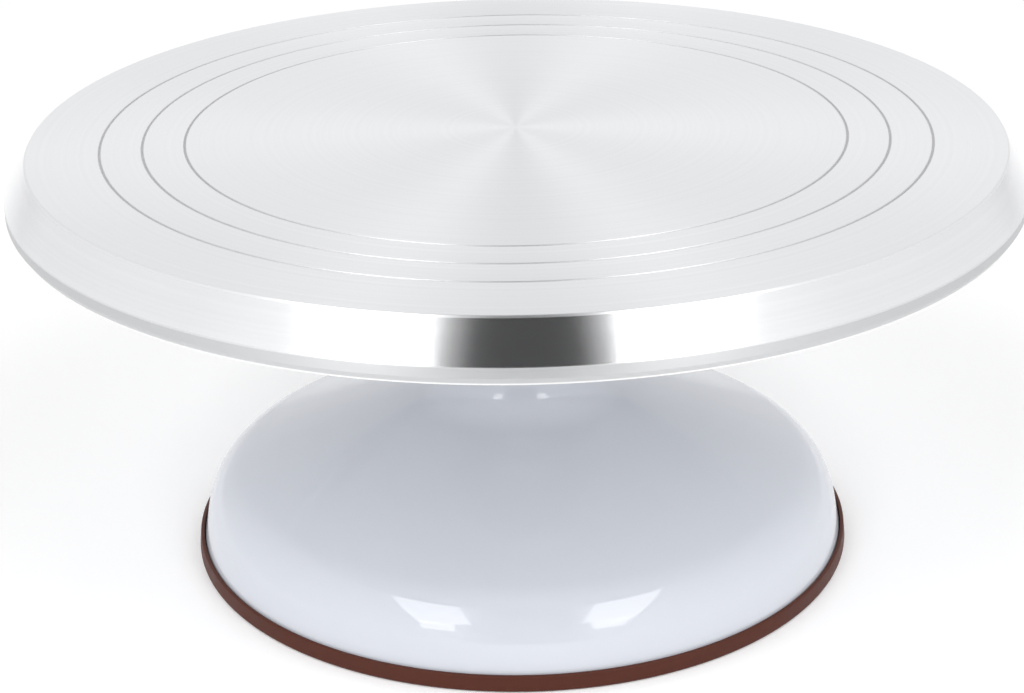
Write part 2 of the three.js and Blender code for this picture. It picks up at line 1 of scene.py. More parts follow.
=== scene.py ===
# %% [markdown]
# # A cake turntable
# A turned aluminium plate spins on two ball bearings over a hollow white base, which stands on a
# brown silicone ring. The frame holds every part at its real size and place, so each new piece
# takes its size from the box of the part that it stands for. All lengths here are metres.

# %% Load the frame
import math

import bpy
from mathutils import Matrix, Vector


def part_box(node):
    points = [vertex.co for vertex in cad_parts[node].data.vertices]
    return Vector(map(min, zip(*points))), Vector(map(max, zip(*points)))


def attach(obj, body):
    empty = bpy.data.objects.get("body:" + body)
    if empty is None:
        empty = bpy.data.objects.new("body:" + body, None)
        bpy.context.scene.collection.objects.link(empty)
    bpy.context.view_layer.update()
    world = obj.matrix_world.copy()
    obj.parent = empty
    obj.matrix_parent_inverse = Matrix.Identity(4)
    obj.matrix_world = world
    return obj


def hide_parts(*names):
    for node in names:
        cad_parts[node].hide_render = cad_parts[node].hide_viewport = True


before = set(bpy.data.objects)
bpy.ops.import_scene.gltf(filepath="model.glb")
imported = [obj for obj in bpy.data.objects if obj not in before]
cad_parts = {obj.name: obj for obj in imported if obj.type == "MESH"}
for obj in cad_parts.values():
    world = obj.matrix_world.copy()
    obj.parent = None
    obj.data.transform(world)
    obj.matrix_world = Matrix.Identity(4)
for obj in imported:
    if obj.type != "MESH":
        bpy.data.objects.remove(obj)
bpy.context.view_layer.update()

MM = 0.001

# %% [markdown]
# ## Drawing an outline
# Plate, base, ring, hub and bearings are all turned or moulded round one upright axis. One way to
# make such a shape is to push and pull a cylinder; another is to draw half of its section and spin
# it, which is what a lathe does. Spinning is used here, because one outline then holds every step,
# groove and fillet, and round corners stay true arcs.
#
# The outline starts as a plane shrunk to one corner. Each straight stretch is an extrude of that
# corner, and each round one is a small spin of it about the arc's own centre.

# %% Helpers that draw and spin an outline
UPRIGHT = (0, 0, 1)
ACROSS = (0, 1, 0)
WELD = 0.002 * MM
CORNER_ANGLE = math.radians(35)


def leave_edit_mode():
    if bpy.context.object and bpy.context.object.mode != "OBJECT":
        bpy.ops.object.mode_set(mode="OBJECT")


def deselect_everything():
    leave_edit_mode()
    bpy.ops.object.select_all(action="DESELECT")


def start_outline(name, radius, height):
    """A mesh of a single corner, left open in edit mode for drawing."""
    deselect_everything()
    bpy.ops.mesh.primitive_plane_add(size=MM, location=(radius, 0, height))
    piece = bpy.context.object
    piece.name = name
    piece.data.name = name
    bpy.ops.object.transform_apply(location=True)
    bpy.ops.object.mode_set(mode="EDIT")
    bpy.ops.mesh.select_mode(type="VERT")
    bpy.ops.mesh.merge(type="CENTER")
    return piece


def pen():
    """Where the outline has got to: its one selected corner."""
    piece = bpy.context.object
    piece.update_from_editmode()
    return next(corner.co.copy() for corner in piece.data.vertices if corner.select)


def line_to(radius, height):
    step = Vector((radius, 0, height)) - pen()
    bpy.ops.mesh.extrude_region_move(TRANSFORM_OT_translate={"value": step})


def round_corner(corner, after, radius, steps=6):
    """Draws up to a corner and round it, ready to go straight on towards the point after."""
    at = Vector((corner[0], 0, corner[1]))
    back = (pen() - at).normalized()
    ahead = (Vector((after[0], 0, after[1])) - at).normalized()
    half = back.angle(ahead) / 2
    centre = at + (back + ahead).normalized() * radius / math.sin(half)
    start = at + back * radius / math.tan(half)
    line_to(start.x, start.z)
    turn = math.pi - 2 * half
    if back.cross(ahead).y < 0:
        turn = -turn
    bpy.ops.mesh.spin(steps=steps, angle=turn, center=centre, axis=ACROSS)


def close_outline(first):
    """A last stretch back to where the outline began, for a shape with a hole through it."""
    line_to(*first)


def spin_outline(steps, centre=(0, 0, 0), axis=UPRIGHT):
    """Spins the outline once round an axis, closes its seam and turns its faces out."""
    piece = bpy.context.object
    bpy.ops.mesh.select_all(action="SELECT")
    bpy.ops.mesh.spin(steps=steps, angle=2 * math.pi, center=centre, axis=axis)
    bpy.ops.mesh.select_all(action="SELECT")
    bpy.ops.mesh.remove_doubles(threshold=WELD)
    bpy.ops.mesh.normals_make_consistent(inside=False)
    return smooth(piece)


def smooth(piece):
    """Leaves edit mode and smooths every edge that is not a real corner."""
    leave_edit_mode()
    bpy.ops.object.shade_smooth_by_angle(angle=CORNER_ANGLE)
    print(f"{piece.name}: {len(piece.data.polygons)} faces")
    return piece


# %% [markdown]
# ## The plate
# The plate is a shallow aluminium dish turned upside down: a flat top with three guide rings to
# centre a cake by, a bevel polished like a mirror, a short upright rim, and a thicker pad in the
# middle of the underside that the hub bolts to. Every edge that a hand meets is broken by a small
# round, and those rounds are what catch the light, so they are drawn as real arcs.

# %% Model the plate
plate_low, plate_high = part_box("turntable_plate")
PLATE_TOP = plate_high.z
PLATE_RADIUS = plate_high.x
PLATE_BOTTOM = plate_low.z
FLAT_RADIUS = PLATE_RADIUS - 6.9 * MM
BAND_TOP = PLATE_TOP - 11.1 * MM
BAND_BOTTOM = BAND_TOP - 3.0 * MM
PLATE_WALL = 3.5 * MM
PAD_RADIUS = 48 * MM
PAD_BOTTOM = PLATE_TOP - 7 * MM
GUIDE_RADII = [124 * MM, 111.5 * MM, 99 * MM]
GUIDE_WIDTH = 1.0 * MM
GUIDE_DEPTH = 0.5 * MM
PLATE_STEPS = 240


def guide_ring(radius):
    """One V-shaped groove with softened lips, drawn from its outer lip to its inner one."""
    outer = (radius + GUIDE_WIDTH / 2, PLATE_TOP)
    bottom = (radius, PLATE_TOP - GUIDE_DEPTH)
    inner = (radius - GUIDE_WIDTH / 2, PLATE_TOP)
    round_corner(outer, bottom, 0.15 * MM, steps=3)
    round_corner(bottom, inner, 0.2 * MM, steps=4)
    round_corner(inner, (0, PLATE_TOP), 0.15 * MM, steps=3)


def plate_outline():
    skirt = PLATE_RADIUS - PLATE_WALL
    ceiling = PLATE_TOP - PLATE_WALL
    under_bevel = (skirt, BAND_TOP - PLATE_WALL / 2)
    under_flat = (FLAT_RADIUS - PLATE_WALL / 2, ceiling)
    piece = start_outline("plate", 0, PAD_BOTTOM)
    round_corner((PAD_RADIUS, PAD_BOTTOM), (PAD_RADIUS, ceiling), 0.5 * MM, steps=3)
    round_corner((PAD_RADIUS, ceiling), under_flat, 2 * MM, steps=5)
    round_corner(under_flat, under_bevel, 4 * MM, steps=5)
    round_corner(under_bevel, (skirt, PLATE_BOTTOM), 2 * MM, steps=5)
    round_corner((skirt, PLATE_BOTTOM), (PLATE_RADIUS - 1.5 * MM, PLATE_BOTTOM), 0.4 * MM, steps=3)
    round_corner((PLATE_RADIUS - 1.5 * MM, PLATE_BOTTOM), (PLATE_RADIUS, BAND_BOTTOM), 0.5 * MM)
    round_corner((PLATE_RADIUS, BAND_BOTTOM), (PLATE_RADIUS, BAND_TOP), 0.8 * MM)
    round_corner((PLATE_RADIUS, BAND_TOP), (FLAT_RADIUS, PLATE_TOP), 0.7 * MM)
    round_corner((FLAT_RADIUS, PLATE_TOP), (0, PLATE_TOP), 0.5 * MM)
    for radius in GUIDE_RADII:
        guide_ring(radius)
    line_to(30 * MM, PLATE_TOP)
    line_to(0, PLATE_TOP)
    return piece


plate = plate_outline()
spin_outline(PLATE_STEPS)
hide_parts("turntable_plate")
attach(plate, "turntable")

# %% [markdown]
# ## The base
# The base is one moulding in glossy white plastic: a steep foot, a round shoulder, a shallow cone
# and a hollow sweep into the neck. Only its outside is drawn. The wall is then given its thickness
# with a Solidify modifier, as a moulder would keep the wall even all over.

# %% Model the base
shell_low, shell_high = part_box("base_shell")
SHELL_FOOT = (shell_high.x, shell_low.z)
SHOULDER = (98 * MM, 22.3 * MM)
SHOULDER_ROUND = 19.3 * MM
WAIST = (25.1 * MM, 51.7 * MM)
WAIST_ROUND = 16 * MM
NECK_TOP = (22.8 * MM, shell_high.z)
LIP_HOLE = 12.5 * MM
SHELL_WALL = 2.6 * MM
FOOT_REACH = 0.3 * MM
SHELL_STEPS = 240


def shell_outline():
    piece = start_outline("base", *SHELL_FOOT)
    round_corner(SHOULDER, WAIST, SHOULDER_ROUND, steps=14)
    round_corner(WAIST, NECK_TOP, WAIST_ROUND, steps=16)
    round_corner(NECK_TOP, (0, NECK_TOP[1]), 1 * MM)
    line_to(LIP_HOLE, NECK_TOP[1])
    return piece


def give_wall(piece, thickness):
    """Thickens an open surface inwards, so that its drawn side stays where it is."""
    deselect_everything()
    piece.select_set(True)
    bpy.context.view_layer.objects.active = piece
    wall = piece.modifiers.new("wall", "SOLIDIFY")
    wall.thickness = thickness
    wall.offset = -1
    wall.use_even_offset = True
    bpy.ops.object.modifier_apply(modifier=wall.name)
    bpy.ops.object.shade_smooth_by_angle(angle=CORNER_ANGLE)
    print(f"{piece.name}: wall {thickness / MM:.1f} mm")


def level_foot(piece, height):
    """Thickening leaves the foot's rim square to the leaning wall; this flattens it to one height."""
    for corner in piece.data.vertices:
        corner.select = corner.co.z < height + FOOT_REACH
    for edge in piece.data.edges:
        edge.select = all(piece.data.vertices[end].select for end in edge.vertices)
    for face in piece.data.polygons:
        face.select = all(piece.data.vertices[end].select for end in face.vertices)
    bpy.ops.object.mode_set(mode="EDIT")
    bpy.ops.transform.resize(value=(1, 1, 0), center_override=(0, 0, height))
    leave_edit_mode()
    print(f"{piece.name}: foot at {height / MM:.1f} mm")


base = shell_outline()
spin_outline(SHELL_STEPS)
give_wall(base, SHELL_WALL)
level_foot(base, SHELL_FOOT[1])
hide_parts("base_shell")
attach(base, "base")

# %% [markdown]
# ## The silicone ring
# A soft ring stretched round the foot of the base stops it from sliding. Its section is an L: a
# floor under the base's edge and a low lip outside it, with every edge rounded because silicone is
# moulded soft.

# %% Model the silicone ring
_, ring_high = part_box("anti_slip_ring")
RING_RADIUS = ring_high.x
RING_TOP = ring_high.z
RING_INNER = 87 * MM
RING_FLOOR = 2 * MM
RING_GRIP = SHELL_FOOT[0] + 0.4 * MM


def ring_outline():
    first = (RING_INNER, 1 * MM)
    piece = start_outline("anti_slip_ring_soft", *first)
    lip_top = (RING_RADIUS - 0.5 * MM, RING_TOP)
    lip_inner = (RING_GRIP - 0.5 * MM, RING_TOP)
    round_corner((RING_INNER, 0), (RING_RADIUS, 0), 0.5 * MM, steps=3)
    round_corner((RING_RADIUS, 0), lip_top, 0.6 * MM)
    round_corner(lip_top, lip_inner, 0.5 * MM)
    round_corner(lip_inner, (RING_GRIP, RING_FLOOR), 0.25 * MM)
    line_to(RING_GRIP, RING_FLOOR)
    round_corner((RING_INNER, RING_FLOOR), first, 0.5 * MM, steps=3)
    close_outline(first)
    return piece


ring = ring_outline()
spin_outline(SHELL_STEPS)
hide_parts("anti_slip_ring")
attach(ring, "base")

# %% [markdown]
# ## Cutting and copying
# Screw heads and cages have recesses that no spin can make. On a bench they are punched or drilled
# after the turning, and here the punch is a plain shape of its own: a Boolean modifier takes it out
# of the piece, is applied, and the punch is thrown away. What repeats is made once and copied.

# %% Helpers that cut, join, copy and hand over
def activate(piece):
    deselect_everything()
    piece.select_set(True)
    bpy.context.view_layer.objects.active = piece


def combine(piece, tool, operation):
    """Cuts a tool out of a piece, or joins it on, and throws the tool away."""
    activate(piece)
    step = piece.modifiers.new(operation.lower(), "BOOLEAN")
    step.operation = operation
    step.solver = "EXACT"
    step.object = tool
    bpy.ops.object.modifier_apply(modifier=step.name)
    bpy.data.objects.remove(tool)
    return smooth(piece)


def copy_turned(piece, name, angle, axis_at=(0, 0, 0)):
    """A copy with a mesh of its own, turned about the upright axis."""
    activate(piece)
    bpy.ops.object.duplicate(linked=False)
    twin = bpy.context.object
    twin.name = name
    twin.data.name = name
    turn_about(angle, "Z", axis_at)
    return twin


def turn_about(angle, axis, centre):
    """Turns all of the active mesh in edit mode; with no window the operator turns the other way."""
    bpy.ops.object.mode_set(mode="EDIT")
    bpy.ops.mesh.select_all(action="SELECT")
    bpy.ops.transform.rotate(value=-angle, orient_axis=axis, center_override=centre)
    leave_edit_mode()


def hand_over(piece, node, body):
    """The piece stands for its CAD node, which is hidden, and moves with its body."""
    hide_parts(node)
    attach(piece, body)


def peg(name, radius, bottom, top, at=(0, 0), sides=32):
    """An upright cylinder to cut or join with."""
    deselect_everything()
    middle = (at[0], at[1], (bottom + top) / 2)
    bpy.ops.mesh.primitive_cylinder_add(
        vertices=sides, radius=radius, depth=top - bottom, location=middle
    )
    tool = bpy.context.object
    tool.name = name
    bpy.ops.object.transform_apply(location=True)
    return tool


def pegs_around(name, count, circle, first_angle, **size):
    """Several pegs at equal angles on a circle, joined into one tool."""
    tools = []
    for number in range(count):
        angle = first_angle + 2 * math.pi * number / count
        place = (circle * math.cos(angle), circle * math.sin(angle))
        tools.append(peg(f"{name}_{number}", at=place, **size))
    deselect_everything()
    for tool in tools:
        tool.select_set(True)
    bpy.context.view_layer.objects.active = tools[0]
    bpy.ops.object.join()
    return tools[0]


# %% [markdown]
# ## The hub
# Under the plate sits a cast flange with a boss. It is cast near its shape, so its corners are all
# rounded and its skin is satin, and only the face that meets the plate is machined. It is an
# outline again, with one large fillet from boss to flange, then drilled for its four screws and,
# from the side, for the grub screw that clamps the spindle.

# %% Model the hub
hub_low, hub_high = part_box("hub_flange")
HUB_RADIUS = hub_high.x
HUB_TOP = hub_high.z
HUB_BOTTOM = hub_low.z
FLANGE_BOTTOM = HUB_TOP - 4.2 * MM
BOSS_RADIUS = 22 * MM
spindle_low, spindle_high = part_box("spindle")
HUB_BORE = 7.2 * MM
HUB_BORE_TOP = spindle_high.z + 0.3 * MM
HUB_SCREW_CIRCLE = 36 * MM
HUB_SCREW_HOLE = 2.75 * MM
DIAGONAL = math.pi / 4
TURNED_STEPS = 96
OVERSHOOT = 5 * MM


def hub_outline():
    piece = start_outline("hub", 0, HUB_BORE_TOP)
    line_to(HUB_BORE, HUB_BORE_TOP)
    round_corner((HUB_BORE, HUB_BOTTOM), (BOSS_RADIUS, HUB_BOTTOM), 0.5 * MM, steps=2)
    round_corner((BOSS_RADIUS, HUB_BOTTOM), (BOSS_RADIUS, FLANGE_BOTTOM), 1.2 * MM, steps=4)
    round_corner((BOSS_RADIUS, FLANGE_BOTTOM), (HUB_RADIUS, FLANGE_BOTTOM), 6 * MM, steps=8)
    round_corner((HUB_RADIUS, FLANGE_BOTTOM), (HUB_RADIUS, HUB_TOP), 1.2 * MM, steps=4)
    round_corner((HUB_RADIUS, HUB_TOP), (0, HUB_TOP), 0.3 * MM, steps=2)
    line_to(0, HUB_TOP)
    return piece


hub = hub_outline()
spin_outline(TURNED_STEPS)
combine(
    hub,
    pegs_around(
        "drill", 4, HUB_SCREW_CIRCLE, DIAGONAL,
        radius=HUB_SCREW_HOLE, bottom=FLANGE_BOTTOM - OVERSHOOT, top=HUB_TOP + OVERSHOOT,
    ),
    "DIFFERENCE",
)
set_screw_low, set_screw_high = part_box("hub_set_screw")
SET_SCREW_HEIGHT = (set_screw_low.z + set_screw_high.z) / 2
deselect_everything()
bpy.ops.mesh.primitive_cylinder_add(
    vertices=32, radius=HUB_SCREW_HOLE, depth=BOSS_RADIUS,
    location=(BOSS_RADIUS / 2 + 3 * MM, 0, SET_SCREW_HEIGHT), rotation=(0, math.pi / 2, 0),
)
bpy.ops.object.transform_apply(location=True, rotation=True)
combine(hub, bpy.context.object, "DIFFERENCE")
hand_over(hub, "hub_flange", "turntable")

# %% [markdown]
# ## Screws
# Three kinds hold the stand together: socket button heads under the hub, and cross-recessed pan
# heads in the column and the cover. Each is one outline from the head's crown to the shank's tip.
# The thread is drawn as a row of ridges, because a true helix would look the same at this pitch
# and cost far more faces. The recess is punched last.

# %% Helpers that make a screw
SCREW_STEPS = 32


def screw_outline(name, head, shank, thread_from, low, high, pitch):
    """Head downwards: crown, rim, seat, plain neck, ridged thread and a blunt tip."""
    head_top = thread_from
    crown = head_top - low
    piece = start_outline(name, 0, low)
    line_to(head * 0.55, low)
    line_to(head * 0.8, low + crown * 0.12)
    round_corner((head, low + crown * 0.4), (head, head_top), crown * 0.35, steps=4)
    round_corner((head, head_top), (shank, head_top), 0.12 * MM, steps=2)
    line_to(shank, head_top)
    line_to(shank, head_top + pitch)
    height = head_top + pitch
    while height < high - 2 * pitch:
        line_to(shank - pitch * 0.4, height + pitch * 0.45)
        line_to(shank, height + pitch * 0.9)
        height += pitch
        line_to(shank, height)
    line_to(shank * 0.5, high)
    line_to(0, high)
    return piece


def punch_hexagon(piece, radius, low, depth):
    combine(piece, peg("hexagon_punch", radius, low - 2 * MM, low + depth, sides=6), "DIFFERENCE")


def punch_cross(piece, reach, width, low, depth):
    """Two tapered blades, as a cross-point driver has."""
    for turn in (0, math.pi / 2):
        deselect_everything()
        bpy.ops.mesh.primitive_cube_add(size=1, location=(0, 0, low + depth / 2 - 0.5 * MM))
        blade = bpy.context.object
        blade.scale = (2 * reach, width, depth + 1 * MM)
        bpy.ops.object.transform_apply(location=True, scale=True)
        bpy.ops.object.mode_set(mode="EDIT")
        bpy.ops.mesh.select_all(action="DESELECT")
        leave_edit_mode()
        for corner in blade.data.vertices:
            corner.select = corner.co.z > low
        bpy.ops.object.mode_set(mode="EDIT")
        bpy.ops.transform.resize(value=(0.45, 0.7, 1), center_override=(0, 0, low))
        leave_edit_mode()
        turn_about(turn, "Z", (0, 0, 0))
        combine(piece, blade, "DIFFERENCE")


def move_mesh(piece, offset):
    activate(piece)
    bpy.ops.object.mode_set(mode="EDIT")
    bpy.ops.mesh.select_all(action="SELECT")
    bpy.ops.transform.translate(value=offset)
    leave_edit_mode()


def set_of_screws(first, node, count, circle, first_angle, body):
    """Moves the first screw out to its circle and copies it round."""
    start = (circle * math.cos(first_angle), circle * math.sin(first_angle), 0)
    move_mesh(first, start)
    made = [first]
    for number in range(1, count):
        made.append(copy_turned(first, f"{first.name}_{number + 1}", 2 * math.pi * number / count))
    first.name = f"{first.name}_1"
    for number, piece in enumerate(made, start=1):
        hand_over(piece, f"{node}_{number}", body)
    print(f"{node}: {count} screws on a circle of {2 * circle / MM:.0f} mm")
    return made


# %% Model the three sets of screws
def screw_span(node):
    """The heights of the head's crown and the shank's tip."""
    low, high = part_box(node)
    return low.z, high.z


hub_screw_bottom, hub_screw_top = screw_span("hub_screw_1")
hub_screw = screw_outline(
    "hub_bolt", head=4.5 * MM, shank=2.5 * MM, thread_from=hub_screw_bottom + 2.8 * MM,
    low=hub_screw_bottom, high=hub_screw_top, pitch=0.8 * MM,
)
spin_outline(SCREW_STEPS)
punch_hexagon(hub_screw, 1.75 * MM, hub_screw_bottom, 1.7 * MM)
hub_screws = set_of_screws(
    hub_screw, "hub_screw", 4, HUB_SCREW_CIRCLE, DIAGONAL, "turntable"
)

COLUMN_SCREW_CIRCLE = 42 * MM
column_screw_bottom, column_screw_top = screw_span("column_screw_1")
column_screw = screw_outline(
    "column_bolt", head=3.7 * MM, shank=2.0 * MM, thread_from=column_screw_bottom + 2.2 * MM,
    low=column_screw_bottom, high=column_screw_top, pitch=1.1 * MM,
)
spin_outline(SCREW_STEPS)
punch_cross(column_screw, 1.7 * MM, 0.8 * MM, column_screw_bottom, 1.3 * MM)
column_screws = set_of_screws(
    column_screw, "column_screw", 4, COLUMN_SCREW_CIRCLE, DIAGONAL, "base"
)

COVER_SCREW_CIRCLE = 80 * MM
cover_screw_bottom, cover_screw_top = screw_span("cover_screw_1")
cover_screw = screw_outline(
    "cover_bolt", head=3.1 * MM, shank=1.6 * MM, thread_from=cover_screw_bottom + 1.4 * MM,
    low=cover_screw_bottom, high=cover_screw_top, pitch=0.9 * MM,
)
spin_outline(SCREW_STEPS)
punch_cross(cover_screw, 1.5 * MM, 0.65 * MM, cover_screw_bottom, 0.9 * MM)
cover_screws = set_of_screws(
    cover_screw, "cover_screw", 6, COVER_SCREW_CIRCLE, 0, "base"
)

# %% [markdown]
# ## The grub screw
# It lies level in the boss and points at the spindle, so its outline is drawn along the X axis and
# spun about that axis. Its outer end holds a hexagon socket and its inner end is cupped to bite.

# %% Model the grub screw
def along_grub(distance, radius):
    """A point of the grub screw's outline, as a radius and a height in the X and Z plane."""
    return distance, SET_SCREW_HEIGHT + radius


def grub_screw():
    radius = set_screw_high.z - SET_SCREW_HEIGHT
    pitch = 0.8 * MM
    inner, outer = set_screw_low.x, set_screw_high.x
    piece = start_outline("grub_screw", *along_grub(inner + 0.6 * MM, 0))
    line_to(*along_grub(inner, 1.2 * MM))
    line_to(*along_grub(inner + 0.7 * MM, radius - 0.1 * MM))
    distance = inner + 0.9 * MM
    while distance < outer - 1.2 * pitch:
        line_to(*along_grub(distance, radius))
        line_to(*along_grub(distance + pitch * 0.5, radius - pitch * 0.4))
        distance += pitch
    line_to(*along_grub(distance, radius))
    line_to(*along_grub(outer - 0.2 * MM, radius))
    line_to(*along_grub(outer, radius - 0.3 * MM))
    line_to(*along_grub(outer, 0))
    spin_outline(SCREW_STEPS, centre=(0, 0, SET_SCREW_HEIGHT), axis=(1, 0, 0))
    deselect_everything()
    bpy.ops.mesh.primitive_cylinder_add(
        vertices=6, radius=1.4 * MM, depth=5 * MM,
        location=(outer, 0, SET_SCREW_HEIGHT), rotation=(0, math.pi / 2, 0),
    )
    bpy.ops.object.transform_apply(location=True, rotation=True)
    return combine(piece, bpy.context.object, "DIFFERENCE")


grub = grub_screw()
hand_over(grub, "hub_set_screw", "turntable")

# %% [markdown]
# ## The spindle and its two rings
# The spindle is turned from bar and ground where the bearings sit. Both of its ends keep the small
# cone that the lathe's centre left. An open ring springs into the groove near its lower end, and a
# wavy washer above that ring presses the bearing up, so that the plate has no play.

# %% Model the spindle
LOWER_SEAT = 5.95 * MM
UPPER_SEAT = 7.45 * MM
COLLAR_RADIUS = spindle_high.x
_, lower_race_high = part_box("lower_inner_race")
upper_race_low, upper_race_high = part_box("upper_inner_race")
SNAP_GROOVE_BOTTOM = 17.8 * MM
SNAP_GROOVE_TOP = 19.0 * MM


def spindle_outline():
    low, high = spindle_low.z, spindle_high.z
    shoulder = lower_race_high.z + 0.1 * MM
    collar = upper_race_high.z + 0.1 * MM
    collar_top = collar + 4.6 * MM
    head = 6.9 * MM
    snap = LOWER_SEAT - 0.5 * MM
    piece = start_outline("spindle_shaft", 0, low + 2 * MM)
    line_to(1.2 * MM, low)
    round_corner((LOWER_SEAT - 1 * MM, low), (LOWER_SEAT, low + 1 * MM), 0.3 * MM, steps=2)
    round_corner((LOWER_SEAT, low + 1 * MM), (LOWER_SEAT, SNAP_GROOVE_BOTTOM), 0.3 * MM, steps=2)
    line_to(LOWER_SEAT, SNAP_GROOVE_BOTTOM)
    line_to(snap, SNAP_GROOVE_BOTTOM)
    line_to(snap, SNAP_GROOVE_TOP)
    line_to(LOWER_SEAT, SNAP_GROOVE_TOP)
    round_corner((LOWER_SEAT, shoulder), (UPPER_SEAT, shoulder), 0.3 * MM, steps=3)
    round_corner((UPPER_SEAT, shoulder), (UPPER_SEAT, collar), 0.3 * MM, steps=3)
    round_corner((UPPER_SEAT, collar), (COLLAR_RADIUS, collar), 0.3 * MM, steps=3)
    round_corner((COLLAR_RADIUS, collar), (COLLAR_RADIUS, collar_top), 0.4 * MM, steps=3)
    round_corner((COLLAR_RADIUS, collar_top), (head, collar_top), 0.4 * MM, steps=3)
    round_corner((head, collar_top), (head, high), 0.4 * MM, steps=3)
    round_corner((head, high - 1 * MM), (head - 1 * MM, high), 0.3 * MM, steps=2)
    line_to(head - 1 * MM, high)
    line_to(1.2 * MM, high)
    line_to(0, high - 2 * MM)
    return piece


shaft = spindle_outline()
spin_outline(TURNED_STEPS)
hand_over(shaft, "spindle", "turntable")


# %% Model the snap ring and the wave washer
SNAP_STEPS = 80
WASHER_SPOKES = 72
WASHER_WAVES = 3


def flat_band(name, node, inner):
    """The closed section of a flat ring, left in edit mode with every corner selected.

    The ring's gap faces +X, so the far side of its box gives its radius.
    """
    low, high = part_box(node)
    outer = -low.x
    edge = min(0.12 * MM, (high.z - low.z) / 4)
    first = ((inner + outer) / 2, low.z)
    piece = start_outline(name, *first)
    round_corner((outer, low.z), (outer, high.z), edge, steps=2)
    round_corner((outer, high.z), (inner, high.z), edge, steps=2)
    round_corner((inner, high.z), (inner, low.z), edge, steps=2)
    round_corner((inner, low.z), first, edge, steps=2)
    close_outline(first)
    bpy.ops.mesh.select_all(action="SELECT")
    bpy.ops.mesh.remove_doubles(threshold=WELD)
    return piece


def snap_ring():
    """Spun most of the way round, so that the filled section closes both of its ends."""
    piece = flat_band("snap_ring", "retaining_ring", LOWER_SEAT - 0.35 * MM)
    bpy.ops.mesh.edge_face_add()
    outer = -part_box("retaining_ring")[0].x
    half_gap = math.asin(2.5 * MM / outer)
    bpy.ops.transform.rotate(value=half_gap, orient_axis="Z", center_override=(0, 0, 0))
    bpy.ops.mesh.spin(
        steps=SNAP_STEPS, angle=2 * math.pi - 2 * half_gap, center=(0, 0, 0), axis=UPRIGHT
    )
    bpy.ops.mesh.select_all(action="SELECT")
    bpy.ops.mesh.remove_doubles(threshold=WELD)
    bpy.ops.mesh.normals_make_consistent(inside=False)
    return smooth(piece)


snap = snap_ring()
print("snap ring spans, mm:", [round(side / MM, 1) for side in snap.dimensions])
hand_over(snap, "retaining_ring", "turntable")


def wave_washer():
    """A flat ring first, then each spoke of it is lifted or lowered to make three waves."""
    low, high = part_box("preload_washer")
    outer, thickness, swing = high.x, 0.3 * MM, 0.2 * MM
    inner = LOWER_SEAT + 0.15 * MM
    middle = (low.z + high.z) / 2
    first = ((inner + outer) / 2, middle - thickness / 2)
    piece = start_outline("wave_washer", *first)
    line_to(outer, middle - thickness / 2)
    line_to(outer, middle + thickness / 2)
    line_to(inner, middle + thickness / 2)
    line_to(inner, middle - thickness / 2)
    close_outline(first)
    spin_outline(WASHER_SPOKES)
    bpy.ops.object.mode_set(mode="EDIT")
    bpy.ops.mesh.select_all(action="DESELECT")
    for spoke in range(WASHER_SPOKES):
        angle = 2 * math.pi * spoke / WASHER_SPOKES
        lift = swing * math.cos(WASHER_WAVES * angle)
        deselect_everything()
        for corner in piece.data.vertices:
            off = math.atan2(corner.co.y, corner.co.x) - angle
            corner.select = abs(math.remainder(off, 2 * math.pi)) < math.radians(1)
        activate(piece)
        bpy.ops.object.mode_set(mode="EDIT")
        bpy.ops.transform.translate(value=(0, 0, lift))
        bpy.ops.mesh.select_all(action="DESELECT")
    return smooth(piece)


washer = wave_washer()
hand_over(washer, "preload_washer", "turntable")

# %% [markdown]
# ## The ball bearings
# A deep-groove bearing has two hardened races with a groove each, a row of balls between them and
# a cage that keeps the balls apart. The races are outlines with the groove as a true arc. A ball
# starts as a cube, because a subdivided cube pushed out to a sphere has even faces and no poles.

# %% Helpers for races, cages and balls
BALL_RADIUS = 2.975 * MM
GROOVE_RADIUS = BALL_RADIUS + 0.2 * MM
LAND_OFFSET = 2.3 * MM
BEARING_PITCH = {"upper": 12.5 * MM, "lower": 11 * MM}
BALL_COUNT = {"upper": 8, "lower": 7}


def race_groove(land, middle, towards, going_up):
    """The groove's arc from one land to the other; towards is 1 where it opens outwards."""
    half = math.acos(LAND_OFFSET / GROOVE_RADIUS)
    centre = Vector((land + towards * LAND_OFFSET, 0, middle))
    rise = GROOVE_RADIUS * math.sin(half)
    line_to(land, middle - rise if going_up else middle + rise)
    start = pen() - centre
    end = Vector((start.x, 0, -start.z))
    turn = start.angle(end)
    if start.cross(end).y > 0:
        turn = -turn
    bpy.ops.mesh.spin(steps=12, angle=turn, center=centre, axis=ACROSS)


def race(place, side):
    """side is inner or outer."""
    low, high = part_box(f"{place}_{side}_race")
    middle = (low.z + high.z) / 2
    inner = side == "inner"
    pitch = BEARING_PITCH[place]
    land = pitch - LAND_OFFSET if inner else pitch + LAND_OFFSET
    wall = high.x if not inner else {"upper": 7.55 * MM, "lower": 6.05 * MM}[place]
    first = ((land + wall) / 2, low.z)
    piece = start_outline(f"{place}_race_{side}", *first)
    edge = 0.35 * MM
    if inner:
        round_corner((land, low.z), (land, high.z), edge, steps=3)
        race_groove(land, middle, 1, going_up=True)
        round_corner((land, high.z), (wall, high.z), edge, steps=3)
        round_corner((wall, high.z), (wall, low.z), edge, steps=3)
        round_corner((wall, low.z), first, edge, steps=3)
    else:
        round_corner((wall, low.z), (wall, high.z), edge, steps=3)
        round_corner((wall, high.z), (land, high.z), edge, steps=3)
        round_corner((land, high.z), (land, low.z), edge, steps=3)
        race_groove(land, middle, -1, going_up=False)
        round_corner((land, low.z), first, edge, steps=3)
    close_outline(first)
    return spin_outline(TURNED_STEPS)


